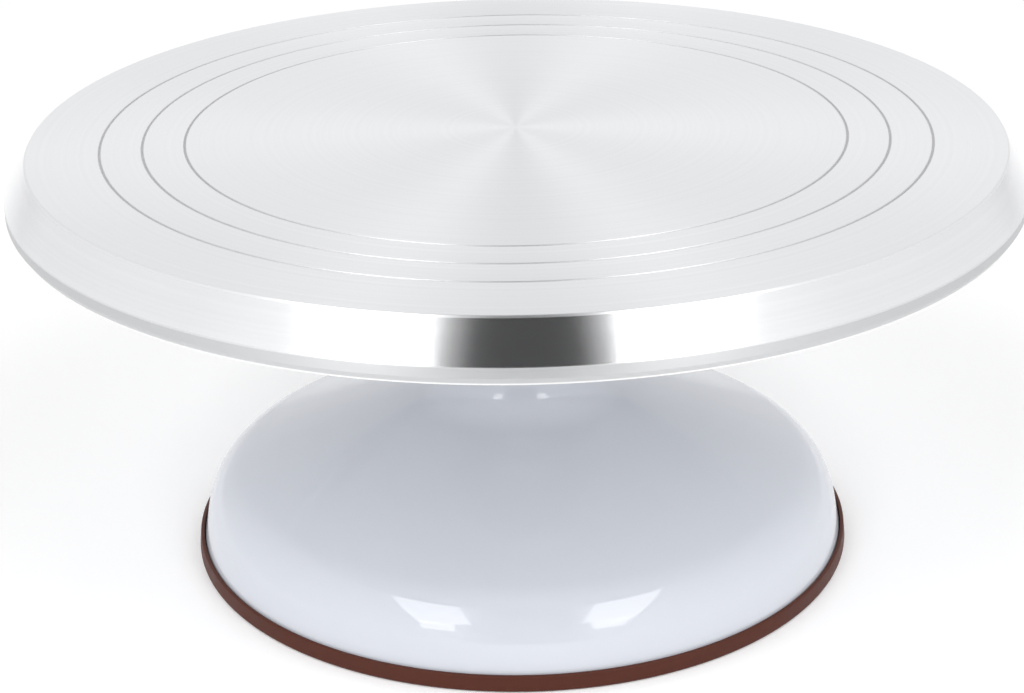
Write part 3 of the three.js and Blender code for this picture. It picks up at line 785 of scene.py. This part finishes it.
def ball(name, centre):
    """A cube, divided three times and pushed out to a sphere of the right radius."""
    deselect_everything()
    bpy.ops.mesh.primitive_cube_add(size=2 * BALL_RADIUS, location=centre)
    piece = bpy.context.object
    piece.name = name
    bpy.ops.object.transform_apply(location=True)
    bpy.ops.object.mode_set(mode="EDIT")
    bpy.ops.mesh.select_all(action="SELECT")
    bpy.ops.mesh.subdivide(number_cuts=11)
    bpy.ops.transform.tosphere(value=1.0, center_override=centre)
    piece.update_from_editmode()
    reach = (piece.data.vertices[0].co - Vector(centre)).length
    grow = BALL_RADIUS / reach
    bpy.ops.transform.resize(value=(grow, grow, grow), center_override=centre)
    return smooth(piece)


def cage(place):
    """A thin band with a round window for each ball."""
    low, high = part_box(f"{place}_cage")
    middle = (low.z + high.z) / 2
    pitch = BEARING_PITCH[place]
    inner, outer = pitch - 0.6 * MM, pitch + 0.6 * MM
    first = (inner, middle)
    piece = start_outline(f"{place}_ball_cage", *first)
    for corner, after in (
        ((inner, low.z), (outer, low.z)),
        ((outer, low.z), (outer, high.z)),
        ((outer, high.z), (inner, high.z)),
        ((inner, high.z), first),
    ):
        round_corner(corner, after, 0.25 * MM, steps=3)
    close_outline(first)
    spin_outline(TURNED_STEPS)
    for number in range(BALL_COUNT[place]):
        angle = 2 * math.pi * number / BALL_COUNT[place]
        deselect_everything()
        bpy.ops.mesh.primitive_cylinder_add(
            vertices=40, radius=3.4 * MM, depth=4 * MM,
            location=(pitch * math.cos(angle), pitch * math.sin(angle), middle),
            rotation=(0, math.pi / 2, angle),
        )
        bpy.ops.object.transform_apply(location=True, rotation=True)
        combine(piece, bpy.context.object, "DIFFERENCE")
    return piece


# %% Model both bearings
bearing_pieces = []
cage_pieces = []
for place in ("upper", "lower"):
    for side, body in (("inner", "turntable"), ("outer", "base")):
        made = race(place, side)
        hand_over(made, f"{place}_{side}_race", body)
        bearing_pieces.append(made)
    made = cage(place)
    hand_over(made, f"{place}_cage", f"{place}_cage")
    cage_pieces.append(made)
    low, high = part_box(f"{place}_ball_1")
    first_ball = ball(f"{place}_steel_ball_1", (BEARING_PITCH[place], 0, (low.z + high.z) / 2))
    for number in range(1, BALL_COUNT[place] + 1):
        angle = 2 * math.pi * (number - 1) / BALL_COUNT[place]
        made = first_ball
        if number > 1:
            made = copy_turned(first_ball, f"{place}_steel_ball_{number}", angle)
        bearing_pieces.append(made)
    for number, made in enumerate(bearing_pieces[-BALL_COUNT[place]:], start=1):
        hand_over(made, f"{place}_ball_{number}", f"{place}_ball_{number}")

# %% [markdown]
# ## The column
# Inside the neck a moulded tube holds both bearings. Its foot is a flange with four gussets, and
# screws hold it to posts in the shell. The tube is an outline and each gusset is a cube with its
# top outer edge pulled in. A Boolean joins them, because they come out of one mould as one piece.

# %% Model the column
column_low, column_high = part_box("inner_column")
COLUMN_FLANGE = column_high.x
COLUMN_TUBE = 19.5 * MM
COLUMN_BORE = 14 * MM
COLUMN_FLANGE_TOP = column_low.z + 3 * MM
GUSSET_THICKNESS = 3 * MM
GUSSET_HEIGHT = 24 * MM


def column_outline():
    lower_seat = 16.1 * MM
    upper_seat = 17.6 * MM
    lower_seat_top = lower_race_high.z + 0.1 * MM
    upper_seat_bottom = upper_race_low.z - 0.1 * MM
    low, high = column_low.z, column_high.z
    first = (lower_seat, (low + lower_seat_top) / 2)
    piece = start_outline("bearing_column", *first)
    round_corner((lower_seat, low), (COLUMN_FLANGE, low), 0.4 * MM, steps=2)
    round_corner((COLUMN_FLANGE, low), (COLUMN_FLANGE, COLUMN_FLANGE_TOP), 0.6 * MM, steps=3)
    round_corner((COLUMN_FLANGE, COLUMN_FLANGE_TOP), (COLUMN_TUBE, COLUMN_FLANGE_TOP), 0.8 * MM)
    round_corner((COLUMN_TUBE, COLUMN_FLANGE_TOP), (COLUMN_TUBE, high), 1.5 * MM, steps=4)
    round_corner((COLUMN_TUBE, high), (upper_seat, high), 0.4 * MM, steps=3)
    round_corner((upper_seat, high), (upper_seat, upper_seat_bottom), 0.4 * MM, steps=3)
    line_to(upper_seat, upper_seat_bottom)
    round_corner((COLUMN_BORE, upper_seat_bottom), (COLUMN_BORE, lower_seat_top), 0.4 * MM, steps=2)
    round_corner((COLUMN_BORE, lower_seat_top), (lower_seat, lower_seat_top), 0.4 * MM, steps=2)
    line_to(lower_seat, lower_seat_top)
    close_outline(first)
    return piece


def gusset(angle):
    """A thin upright plate with its top outer edge pulled in to the tube."""
    root, tip = COLUMN_TUBE - 1.5 * MM, COLUMN_FLANGE - 3 * MM
    bottom, top = COLUMN_FLANGE_TOP - 1.5 * MM, COLUMN_FLANGE_TOP - 1.5 * MM + GUSSET_HEIGHT
    deselect_everything()
    bpy.ops.mesh.primitive_cube_add(
        size=1, location=((root + tip) / 2, 0, (bottom + top) / 2)
    )
    made = bpy.context.object
    made.scale = (tip - root, GUSSET_THICKNESS, top - bottom)
    bpy.ops.object.transform_apply(location=True, scale=True)
    for corner in made.data.vertices:
        corner.select = corner.co.z > top - 1 * MM and corner.co.x > tip - 1 * MM
    for edge in made.data.edges:
        edge.select = all(made.data.vertices[end].select for end in edge.vertices)
    for face in made.data.polygons:
        face.select = False
    bpy.ops.object.mode_set(mode="EDIT")
    bpy.ops.transform.translate(value=(root + 2.5 * MM - tip, 0, 0))
    leave_edit_mode()
    turn_about(angle, "Z", (0, 0, 0))
    return made


column = column_outline()
spin_outline(TURNED_STEPS)
for number in range(4):
    combine(column, gusset(number * math.pi / 2), "UNION")
combine(
    column,
    pegs_around(
        "drill", 4, COLUMN_SCREW_CIRCLE, DIAGONAL,
        radius=2.25 * MM, bottom=column_low.z - OVERSHOOT, top=COLUMN_FLANGE_TOP + OVERSHOOT,
    ),
    "DIFFERENCE",
)
hand_over(column, "inner_column", "base")

# %% [markdown]
# ## The screw posts
# Posts grow out of the inside of the shell for the column's and the cover's screws to bite into.
# Each is a peg joined to the shell, with a pilot hole a little wider than its screw.

# %% Add the screw posts inside the base
COVER_POST_TOP = 27.4 * MM
COLUMN_POST_TOP = 42.4 * MM


def add_posts(count, circle, first_angle, radius, bottom, top, pilot, pilot_top):
    """Round posts that grow out of the shell's wall, each with a pilot hole for its screw."""
    posts = pegs_around("post", count, circle, first_angle, radius=radius, bottom=bottom, top=top)
    combine(base, posts, "UNION")
    holes = pegs_around(
        "pilot", count, circle, first_angle, radius=pilot, bottom=bottom - OVERSHOOT, top=pilot_top
    )
    combine(base, holes, "DIFFERENCE")


add_posts(
    6, COVER_SCREW_CIRCLE, 0, radius=4 * MM, bottom=SHELL_FOOT[1] + 2.8 * MM, top=COVER_POST_TOP,
    pilot=1.85 * MM, pilot_top=cover_screw_top + 1 * MM,
)
add_posts(
    4, COLUMN_SCREW_CIRCLE, DIAGONAL, radius=4.5 * MM, bottom=COLUMN_FLANGE_TOP + 0.3 * MM,
    top=COLUMN_POST_TOP, pilot=2.25 * MM, pilot_top=column_screw_top + 1 * MM,
)

# %% [markdown]
# ## The cover
# A flat moulded disc closes the base from below. Moulders sink the middle of such a disc and leave
# a raised rim and a raised ring in it, which stiffen it. Each screw passes through a plain hole.

# %% Model the cover
cover_low, cover_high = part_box("bottom_cover")
COVER_RADIUS = cover_high.x
COVER_RIM = 8 * MM
COVER_SINK = 0.4 * MM


def cover_outline():
    low, high = cover_low.z, cover_high.z
    sunk = low + COVER_SINK
    rim_inner = COVER_RADIUS - COVER_RIM
    piece = start_outline("cover_disc", 0, sunk)
    line_to(25 * MM, sunk)
    round_corner((30 * MM, sunk), (31 * MM, low), 0.3 * MM, steps=2)
    round_corner((31 * MM, low), (34 * MM, low), 0.3 * MM, steps=2)
    round_corner((34 * MM, low), (35 * MM, sunk), 0.3 * MM, steps=2)
    round_corner((35 * MM, sunk), (70 * MM, sunk), 0.3 * MM, steps=2)
    round_corner((70 * MM, sunk), (71 * MM, low), 0.3 * MM, steps=2)
    round_corner((71 * MM, low), (rim_inner, low), 0.3 * MM, steps=2)
    line_to(rim_inner, low)
    round_corner((COVER_RADIUS, low), (COVER_RADIUS, high), 0.6 * MM, steps=3)
    round_corner((COVER_RADIUS, high), (0, high), 0.6 * MM, steps=3)
    line_to(0, high)
    return piece


cover = cover_outline()
spin_outline(SHELL_STEPS)
combine(
    cover,
    pegs_around(
        "drill", 6, COVER_SCREW_CIRCLE, 0,
        radius=1.85 * MM, bottom=cover_low.z - OVERSHOOT, top=cover_high.z + OVERSHOOT,
    ),
    "DIFFERENCE",
)
hand_over(cover, "bottom_cover", "base")

# %% [markdown]
# ## Finishes
# Every finish is a node material. Object coordinates are metres from the middle of the foot, on
# the table, so the distance from the axis is the length of their X and Y, and that one number
# drives the tool marks.
# Fine marks are bump, and wear and handling show as a change of roughness or a faint change of
# colour, which is how they look on the real surfaces.

# %% Material helpers
def new_material(name):
    """An empty node material with a Principled shader; returns the material, nodes and shader."""
    made = bpy.data.materials.new(name)
    made.use_nodes = True
    nodes = made.node_tree.nodes
    shader = nodes["Principled BSDF"]
    return made, nodes, shader


def link(made, source, target):
    made.node_tree.links.new(source, target)


def place_in_object(made):
    return made.node_tree.nodes.new("ShaderNodeTexCoord").outputs["Object"]


def distance_from_axis(made):
    """Radius in metres: the length of the object coordinate once its height is dropped."""
    nodes = made.node_tree.nodes
    flat = nodes.new("ShaderNodeVectorMath")
    flat.operation = "MULTIPLY"
    flat.inputs[1].default_value = (1, 1, 0)
    length = nodes.new("ShaderNodeVectorMath")
    length.operation = "LENGTH"
    link(made, place_in_object(made), flat.inputs[0])
    link(made, flat.outputs["Vector"], length.inputs[0])
    return length.outputs["Value"]


def height(made):
    """Height above the table in metres."""
    split = made.node_tree.nodes.new("ShaderNodeSeparateXYZ")
    link(made, place_in_object(made), split.inputs["Vector"])
    return split.outputs["Z"]


def noise(made, scale, detail=2.0, roughness=0.5):
    """A noise texture on object coordinates."""
    texture = made.node_tree.nodes.new("ShaderNodeTexNoise")
    texture.inputs["Scale"].default_value = scale
    texture.inputs["Detail"].default_value = detail
    texture.inputs["Roughness"].default_value = roughness
    link(made, place_in_object(made), texture.inputs["Vector"])
    return texture.outputs["Fac"]


def marks_along(made, value, scale, detail=3.0):
    """Noise on one number, such as the radius: rings where the radius drives it."""
    texture = made.node_tree.nodes.new("ShaderNodeTexNoise")
    texture.noise_dimensions = "1D"
    texture.inputs["Scale"].default_value = scale
    texture.inputs["Detail"].default_value = detail
    link(made, value, texture.inputs["W"])
    return texture.outputs["Fac"]


def map_range(made, value, from_low, from_high, to_low, to_high):
    node = made.node_tree.nodes.new("ShaderNodeMapRange")
    node.inputs["From Min"].default_value = from_low
    node.inputs["From Max"].default_value = from_high
    node.inputs["To Min"].default_value = to_low
    node.inputs["To Max"].default_value = to_high
    link(made, value, node.inputs["Value"])
    return node.outputs["Result"]


def calculate(made, operation, first, second):
    """One sum on two numbers; either may be a plain value."""
    node = made.node_tree.nodes.new("ShaderNodeMath")
    node.operation = operation
    for socket, value in zip(node.inputs, (first, second)):
        if isinstance(value, (int, float)):
            socket.default_value = value
        else:
            link(made, value, socket)
    return node.outputs["Value"]


def choose(made, factor, at_zero, at_one):
    """A number that goes from one value to another as a factor goes from 0 to 1."""
    node = made.node_tree.nodes.new("ShaderNodeMix")
    node.data_type = "FLOAT"
    link(made, factor, node.inputs["Factor"])
    for socket, value in zip(node.inputs[2:4], (at_zero, at_one)):
        if isinstance(value, (int, float)):
            socket.default_value = value
        else:
            link(made, value, socket)
    return node.outputs["Result"]


def choose_colour(made, factor, at_zero, at_one):
    """A colour that goes from one to another; either may be a triple or come from a node."""
    node = made.node_tree.nodes.new("ShaderNodeMix")
    node.data_type = "RGBA"
    link(made, factor, node.inputs["Factor"])
    for socket, colour in zip(node.inputs[6:8], (at_zero, at_one)):
        if isinstance(colour, tuple):
            socket.default_value = (*colour, 1)
        else:
            link(made, colour, socket)
    return node.outputs[2]


def bump(made, height_value, strength, distance, normal=None):
    node = made.node_tree.nodes.new("ShaderNodeBump")
    node.inputs["Strength"].default_value = strength
    node.inputs["Distance"].default_value = distance
    link(made, height_value, node.inputs["Height"])
    if normal is not None:
        link(made, normal, node.inputs["Normal"])
    return node.outputs["Normal"]


def set_finish(made, *pieces):
    for piece in pieces:
        piece.data.materials.clear()
        piece.data.materials.append(made)
        for face in piece.data.polygons:
            face.material_index = 0
    print(f"{made.name}: on {len(pieces)} pieces")


# %% [markdown]
# ## Turned aluminium
# A lathe leaves fine rings, and rings spread a reflection across themselves: that is the fan of
# light on the top and the soft upright smear on the bevel. The shader's anisotropy does this, with
# its tangent running round the axis and turned a quarter, so that the smear lies along the radius.
# One material covers the plate, and height and radius choose between the satin top, the guide
# rings with painted shade, the polished bevel, the coarser rim with painted shade and a painted
# highlight on its lip, and the plain underside, made a little darker with painted shade.

# %% Turned aluminium
TOP_ROUGHNESS = 0.36
BEVEL_ROUGHNESS = 0.17
BAND_ROUGHNESS = 0.5
UNDERSIDE_ROUGHNESS = 0.42
GROOVE_ROUGHNESS = 0.68
BRIGHT_TONES = ((0.83, 0.84, 0.86), (0.95, 0.955, 0.965))
# Painted shade: the underside is coloured a little darker than the top and bevel, for the shade under
# the plate.
UNDERSIDE_PAINTED_SHADE_TONES = ((0.78, 0.79, 0.81), (0.85, 0.86, 0.88))
# Painted shade: the rim band is coloured darker, for the dark front of the room that it reflects.
BAND_PAINTED_SHADE = (0.63, 0.635, 0.645)
# Painted highlight: the lip is coloured near white, for the bright floor that it reflects.
LIP_PAINTED_HIGHLIGHT = (0.96, 0.96, 0.96)
# Painted shade: the guide rings are coloured darker, for the shade in their grooves.
GROOVE_PAINTED_SHADE = (0.80, 0.805, 0.82)


def turned_aluminium():
    made, nodes, shader = new_material("turned_aluminium")
    radius = distance_from_axis(made)
    up = height(made)
    shader.inputs["Metallic"].default_value = 1.0
    shader.inputs["Anisotropic"].default_value = 0.8
    shader.inputs["Anisotropic Rotation"].default_value = 0.25
    tangent = nodes.new("ShaderNodeTangent")
    tangent.direction_type = "RADIAL"
    tangent.axis = "Z"
    link(made, tangent.outputs["Tangent"], shader.inputs["Tangent"])

    on_top = map_range(made, up, PLATE_TOP - 0.7 * MM, PLATE_TOP - 0.55 * MM, 0, 1)
    above_band = map_range(made, up, BAND_TOP - 0.3 * MM, BAND_TOP + 0.3 * MM, 0, 1)
    on_bevel = map_range(made, radius, 144.9 * MM, 145.3 * MM, 0, 1)
    on_band = map_range(made, radius, PLATE_RADIUS - 2.6 * MM, PLATE_RADIUS - 1.8 * MM, 0, 1)

    def by_place(pick, top, bevel, band, underside):
        """One value or colour for each region of the plate, chosen by height and radius."""
        low = pick(made, on_band, underside, band)
        high = pick(made, on_bevel, underside, bevel)
        return pick(made, on_top, pick(made, above_band, low, high), top)

    inside = map_range(made, radius, 134 * MM, 135 * MM, 1, 0)
    below = map_range(made, up, PLATE_TOP - 0.18 * MM, PLATE_TOP - 0.04 * MM, 1, 0)
    in_groove = calculate(made, "MULTIPLY", calculate(made, "MULTIPLY", inside, below), on_top)

    coarse = marks_along(made, radius, 700, 4)
    fine = marks_along(made, radius, 5000, 2)
    brushed = marks_along(made, up, 9000, 2)
    smoothness = by_place(
        choose, TOP_ROUGHNESS, BEVEL_ROUGHNESS, BAND_ROUGHNESS, UNDERSIDE_ROUGHNESS
    )
    smoothness = choose(made, in_groove, smoothness, GROOVE_ROUGHNESS)
    streak = map_range(made, choose(made, on_top, brushed, coarse), 0.25, 0.75, -0.03, 0.03)
    link(made, calculate(made, "ADD", smoothness, streak), shader.inputs["Roughness"])

    cloud = calculate(made, "MULTIPLY", noise(made, 14, 3), 0.4)
    tone = calculate(made, "ADD", calculate(made, "MULTIPLY", coarse, 0.6), cloud)
    bright = choose_colour(made, tone, *BRIGHT_TONES)
    # Painted shade on the underside.
    underside = choose_colour(made, tone, *UNDERSIDE_PAINTED_SHADE_TONES)
    # Painted shade on the rim band and a painted highlight on its lip.
    at_lip = map_range(made, up, PLATE_BOTTOM + 0.5 * MM, PLATE_BOTTOM + 0.9 * MM, 1, 0)
    band = choose_colour(made, at_lip, BAND_PAINTED_SHADE, LIP_PAINTED_HIGHLIGHT)
    colour = by_place(choose_colour, bright, bright, band, underside)
    # Painted shade in the guide rings.
    colour = choose_colour(made, in_groove, colour, GROOVE_PAINTED_SHADE)
    link(made, colour, shader.inputs["Base Color"])
    rings = bump(made, coarse, 0.45, 0.014 * MM)
    rings = bump(made, fine, 0.25, 0.006 * MM, rings)
    link(made, bump(made, brushed, 0.2, 0.008 * MM, rings), shader.inputs["Normal"])
    return made


set_finish(turned_aluminium(), plate)

# %% [markdown]
# ## Glossy white plastic
# The base is moulded in a hard, cool white that copies its tool's polish. Close to, such a surface
# is never flat: it keeps a slow ripple, which bends the edges of a reflection, and years of hands
# leave a haze of fine scuffs that only the roughness shows.

# %% Glossy white plastic
def glossy_white_plastic():
    made, _, shader = new_material("glossy_white_plastic")
    shader.inputs["IOR"].default_value = 1.52
    shader.inputs["Coat Weight"].default_value = 0.1
    shader.inputs["Coat Roughness"].default_value = 0.04
    cloud = noise(made, 22, 3)
    link(
        made,
        choose_colour(made, cloud, (0.625, 0.65, 0.71), (0.655, 0.678, 0.732)),
        shader.inputs["Base Color"],
    )
    scuffs = noise(made, 900, 4, 0.7)
    haze = noise(made, 35, 2)
    mixed = calculate(made, "MULTIPLY", scuffs, haze)
    link(made, map_range(made, mixed, 0.1, 0.45, 0.03, 0.09), shader.inputs["Roughness"])
    ripple = noise(made, 45, 2)
    link(made, bump(made, ripple, 0.2, 0.05 * MM), shader.inputs["Normal"])
    return made


set_finish(glossy_white_plastic(), base)

# %% [markdown]
# ## Brown silicone
# Silicone is matte and a little dusty. It picks up lint, so its colour is faintly uneven, and its
# skin has a very fine grain. A little sheen lightens it where it turns away, as on the real lip.

# %% Brown silicone
def brown_silicone():
    made, _, shader = new_material("brown_silicone")
    shader.inputs["Sheen Weight"].default_value = 0.05
    shader.inputs["Sheen Roughness"].default_value = 0.45
    shader.inputs["Specular IOR Level"].default_value = 0.35
    shader.inputs["IOR"].default_value = 1.4
    dust = noise(made, 160, 5, 0.65)
    link(
        made,
        choose_colour(made, dust, (0.063, 0.0125, 0.0055), (0.095, 0.025, 0.0135)),
        shader.inputs["Base Color"],
    )
    link(made, map_range(made, dust, 0.3, 0.7, 0.5, 0.68), shader.inputs["Roughness"])
    grain = noise(made, 3000, 3)
    link(made, bump(made, grain, 0.35, 0.03 * MM), shader.inputs["Normal"])
    return made


set_finish(brown_silicone(), ring)

# %% [markdown]
# ## Castings and plain mouldings
# The hub keeps its cast skin, a coarse, sandy satin. The cover and the column are mouldings that
# nobody looks at, so their tools were never polished and they come out with a fine matte grain.

# %% Cast aluminium and plain mouldings
def cast_aluminium():
    made, _, shader = new_material("cast_aluminium")
    shader.inputs["Metallic"].default_value = 1.0
    sand = noise(made, 1400, 5, 0.6)
    stain = noise(made, 60, 4)
    link(
        made,
        choose_colour(made, stain, (0.50, 0.51, 0.52), (0.70, 0.705, 0.71)),
        shader.inputs["Base Color"],
    )
    link(made, map_range(made, stain, 0.3, 0.7, 0.42, 0.6), shader.inputs["Roughness"])
    link(made, bump(made, sand, 0.5, 0.12 * MM), shader.inputs["Normal"])
    return made


def plain_moulding(name, dark, light, grain_scale):
    made, _, shader = new_material(name)
    shader.inputs["IOR"].default_value = 1.49
    flow = noise(made, 30, 3)
    link(made, choose_colour(made, flow, dark, light), shader.inputs["Base Color"])
    grain = noise(made, grain_scale, 4, 0.6)
    link(made, map_range(made, grain, 0.3, 0.7, 0.42, 0.6), shader.inputs["Roughness"])
    link(made, bump(made, grain, 0.45, 0.05 * MM), shader.inputs["Normal"])
    return made


set_finish(cast_aluminium(), hub)
set_finish(plain_moulding("cover_plastic", (0.66, 0.68, 0.71), (0.72, 0.74, 0.77), 1500), cover)
set_finish(plain_moulding("column_plastic", (0.60, 0.60, 0.58), (0.67, 0.67, 0.65), 900), column)

# %% [markdown]
# ## Steels
# Six steel finishes differ only in colour, polish and in the marks that making them leaves: ground
# rings round the spindle, a faint blue heat tint on the springs, milky zinc on the screws, and
# almost nothing on the balls. One recipe with a few settings covers them all.

# %% Steels
def steel(name, dark, light, polish, scuff_scale, scuff_depth):
    made, _, shader = new_material(name)
    shader.inputs["Metallic"].default_value = 1.0
    film = noise(made, 320, 3)
    link(made, choose_colour(made, film, dark, light), shader.inputs["Base Color"])
    scuffs = noise(made, scuff_scale, 4, 0.6)
    link(
        made,
        map_range(made, scuffs, 0.3, 0.7, polish * 0.75, polish * 1.3),
        shader.inputs["Roughness"],
    )
    link(made, bump(made, scuffs, 0.3, scuff_depth), shader.inputs["Normal"])
    return made


def ground_steel():
    """Steel with fine rings along its height, as a grinding wheel leaves them on a shaft."""
    made = steel("ground_steel", (0.50, 0.51, 0.53), (0.62, 0.63, 0.65), 0.22, 2500, 0.01 * MM)
    shader = made.node_tree.nodes["Principled BSDF"]
    rings = marks_along(made, height(made), 6000, 3)
    link(made, bump(made, rings, 0.4, 0.02 * MM), shader.inputs["Normal"])
    return made


set_finish(ground_steel(), shaft)
set_finish(
    steel("spring_steel", (0.20, 0.21, 0.25), (0.36, 0.37, 0.40), 0.32, 2200, 0.02 * MM),
    snap, washer,
)
set_finish(
    steel("bearing_steel", (0.66, 0.67, 0.69), (0.74, 0.75, 0.77), 0.09, 3000, 0.002 * MM),
    *bearing_pieces,
)
set_finish(
    steel("cage_steel", (0.46, 0.43, 0.38), (0.58, 0.55, 0.50), 0.36, 1800, 0.02 * MM),
    *cage_pieces,
)
set_finish(
    steel("zinc_plated_steel", (0.55, 0.57, 0.61), (0.70, 0.71, 0.72), 0.28, 1600, 0.02 * MM),
    *hub_screws, *column_screws, *cover_screws,
)
set_finish(
    steel("blackened_steel", (0.045, 0.045, 0.05), (0.10, 0.10, 0.11), 0.38, 1500, 0.02 * MM),
    grub,
)

# %% [markdown]
# ## The floor
# A pale sheet larger than anything in view. It glows faintly, so that it reads as white paper, and
# it lies a hair below the ring so that the two never share a plane.

# %% Floor
deselect_everything()
bpy.ops.mesh.primitive_plane_add(size=12, location=(0, 0, -0.2 * MM))
floor = bpy.context.object
floor.name = "studio_floor"
floor_finish, _, floor_shader = new_material("pale_floor")
floor_shader.inputs["Base Color"].default_value = (0.94, 0.94, 0.94, 1)
floor_shader.inputs["Roughness"].default_value = 0.9
floor_shader.inputs["Emission Color"].default_value = (1, 1, 1, 1)
floor_shader.inputs["Emission Strength"].default_value = 0.12
set_finish(floor_finish, floor)

# %% [markdown]
# ## The light
# Polished metal shows its surroundings, so the room is what paints it. Two tall softboxes above
# and to the sides make the bright stretches of the bevel and the pair of highlights on the base,
# and two small low lamps make the pair on the neck. The gap between the softboxes is the dark
# patch in the middle of the bevel. The room around them is pale, and dims straight overhead.

# %% Studio light
bpy.context.scene.view_settings.view_transform = "Standard"
bpy.context.scene.view_settings.look = "None"


ROOM_LEVEL = 1.25
ROOM_BY_BEARING = [
    (0.000, 0.05),
    (0.073, 0.05),
    (0.090, 0.24),
    (0.108, 0.36),
    (0.126, 0.86),
    (0.240, 0.86),
    (0.330, 0.80),
    (0.450, 0.73),
    (0.680, 0.70),
    (0.800, 0.60),
    (0.920, 0.74),
    (1.000, 0.75),
]
GAP_SHIFT = 0.023
LAMP_REACH = 1.7
CEILING = 0.3
CEILING_FROM = (math.radians(60), math.radians(76))


def surroundings():
    """A pale room whose brightness depends on how far a direction lies from straight ahead.

    The list goes from straight in front of the object, 0, to straight behind it, 1. Right in
    front is the dark gap between the softboxes.
    """
    world = bpy.data.worlds.new("pale_room")
    bpy.context.scene.world = world
    world.use_nodes = True
    nodes = world.node_tree.nodes
    links = world.node_tree.links
    way = nodes.new("ShaderNodeTexCoord")
    split = nodes.new("ShaderNodeSeparateXYZ")
    links.new(way.outputs["Generated"], split.inputs["Vector"])

    def sum_of(operation, first, second=0.0):
        node = nodes.new("ShaderNodeMath")
        node.operation = operation
        for socket, value in zip(node.inputs, (first, second)):
            if isinstance(value, float):
                socket.default_value = value
            else:
                links.new(value, socket)
        return node.outputs["Value"]

    sideways = sum_of("ABSOLUTE", sum_of("SUBTRACT", split.outputs["X"], GAP_SHIFT))
    ahead = sum_of("MULTIPLY", split.outputs["Y"], -1.0)
    bearing = sum_of("DIVIDE", sum_of("ARCTAN2", sideways, ahead), math.pi)
    walls = nodes.new("ShaderNodeValToRGB")
    walls.color_ramp.interpolation = "EASE"
    stops = walls.color_ramp.elements
    while len(stops) < len(ROOM_BY_BEARING):
        stops.new(0.5)
    for stop, (position, level) in zip(stops, ROOM_BY_BEARING):
        stop.position = position
        stop.color = (level, level, level, 1)
    links.new(bearing, walls.inputs["Fac"])

    ceiling = nodes.new("ShaderNodeMapRange")
    ceiling.interpolation_type = "SMOOTHSTEP"
    ceiling.inputs["From Min"].default_value = math.sin(CEILING_FROM[0])
    ceiling.inputs["From Max"].default_value = math.sin(CEILING_FROM[1])
    links.new(split.outputs["Z"], ceiling.inputs["Value"])
    mix = nodes.new("ShaderNodeMix")
    mix.data_type = "RGBA"
    links.new(ceiling.outputs["Result"], mix.inputs["Factor"])
    links.new(walls.outputs["Color"], mix.inputs[6])
    mix.inputs[7].default_value = (CEILING, CEILING, CEILING, 1)
    links.new(mix.outputs[2], nodes["Background"].inputs["Color"])
    nodes["Background"].inputs["Strength"].default_value = ROOM_LEVEL
    return world


def softbox(name, facing, along, size, power):
    """A long area light that faces the object, with its long side set along a given direction."""
    facing = Vector(facing).normalized()
    across = Vector(along).cross(facing).normalized()
    upright = facing.cross(across)
    lamp = bpy.data.lights.new(name, "AREA")
    lamp.shape = "RECTANGLE"
    lamp.size, lamp.size_y = size
    lamp.energy = power
    light = bpy.data.objects.new(name, lamp)
    bpy.context.scene.collection.objects.link(light)
    light.location = facing * LAMP_REACH + Vector((0, 0, PLATE_TOP / 2))
    light.rotation_mode = "QUATERNION"
    light.rotation_quaternion = Matrix((across, upright, facing)).transposed().to_quaternion()
    light.visible_camera = False
    return light


surroundings()
for side in (-1, 1):
    softbox(
        "softbox_left" if side < 0 else "softbox_right",
        facing=(side * 0.47 + 0.02, -0.56, 0.72),
        along=(-side * 0.11, 0.88, 0.46),
        size=(0.55, 1.36),
        power=7.6,
    )
    softbox(
        "low_lamp_left" if side < 0 else "low_lamp_right",
        facing=(side * 0.46, -0.82, 0.34),
        along=(0, 0.3, 0.95),
        size=(0.34, 0.32),
        power=1.2,
    )

# %% [markdown]
# ## The camera
# It looks down at the plate from in front. The lens is long for the distance, and the camera rolls
# by a degree, as one held by hand does.

# %% Camera
CAMERA_REACH = 0.7092
CAMERA_RISE = math.radians(18.31)
CAMERA_TILT = math.radians(23.655)
CAMERA_ROLL = math.radians(-1.01)
CAMERA_LENS = 82.46
CAMERA_SIDEWAYS = -0.0031

camera_data = bpy.data.cameras.new("camera")
camera_data.sensor_width = 36
camera_data.lens = CAMERA_LENS
camera = bpy.data.objects.new("camera", camera_data)
bpy.context.scene.collection.objects.link(camera)
camera.location = Vector((
    0,
    -CAMERA_REACH * math.cos(CAMERA_RISE),
    PLATE_TOP + CAMERA_REACH * math.sin(CAMERA_RISE),
))
look = Vector((CAMERA_SIDEWAYS, math.cos(CAMERA_TILT), -math.sin(CAMERA_TILT)))
camera.rotation_mode = "QUATERNION"
camera.rotation_quaternion = look.to_track_quat("-Z", "Y") @ Matrix.Rotation(
    CAMERA_ROLL, 3, "Z"
).to_quaternion()
bpy.context.scene.camera = camera
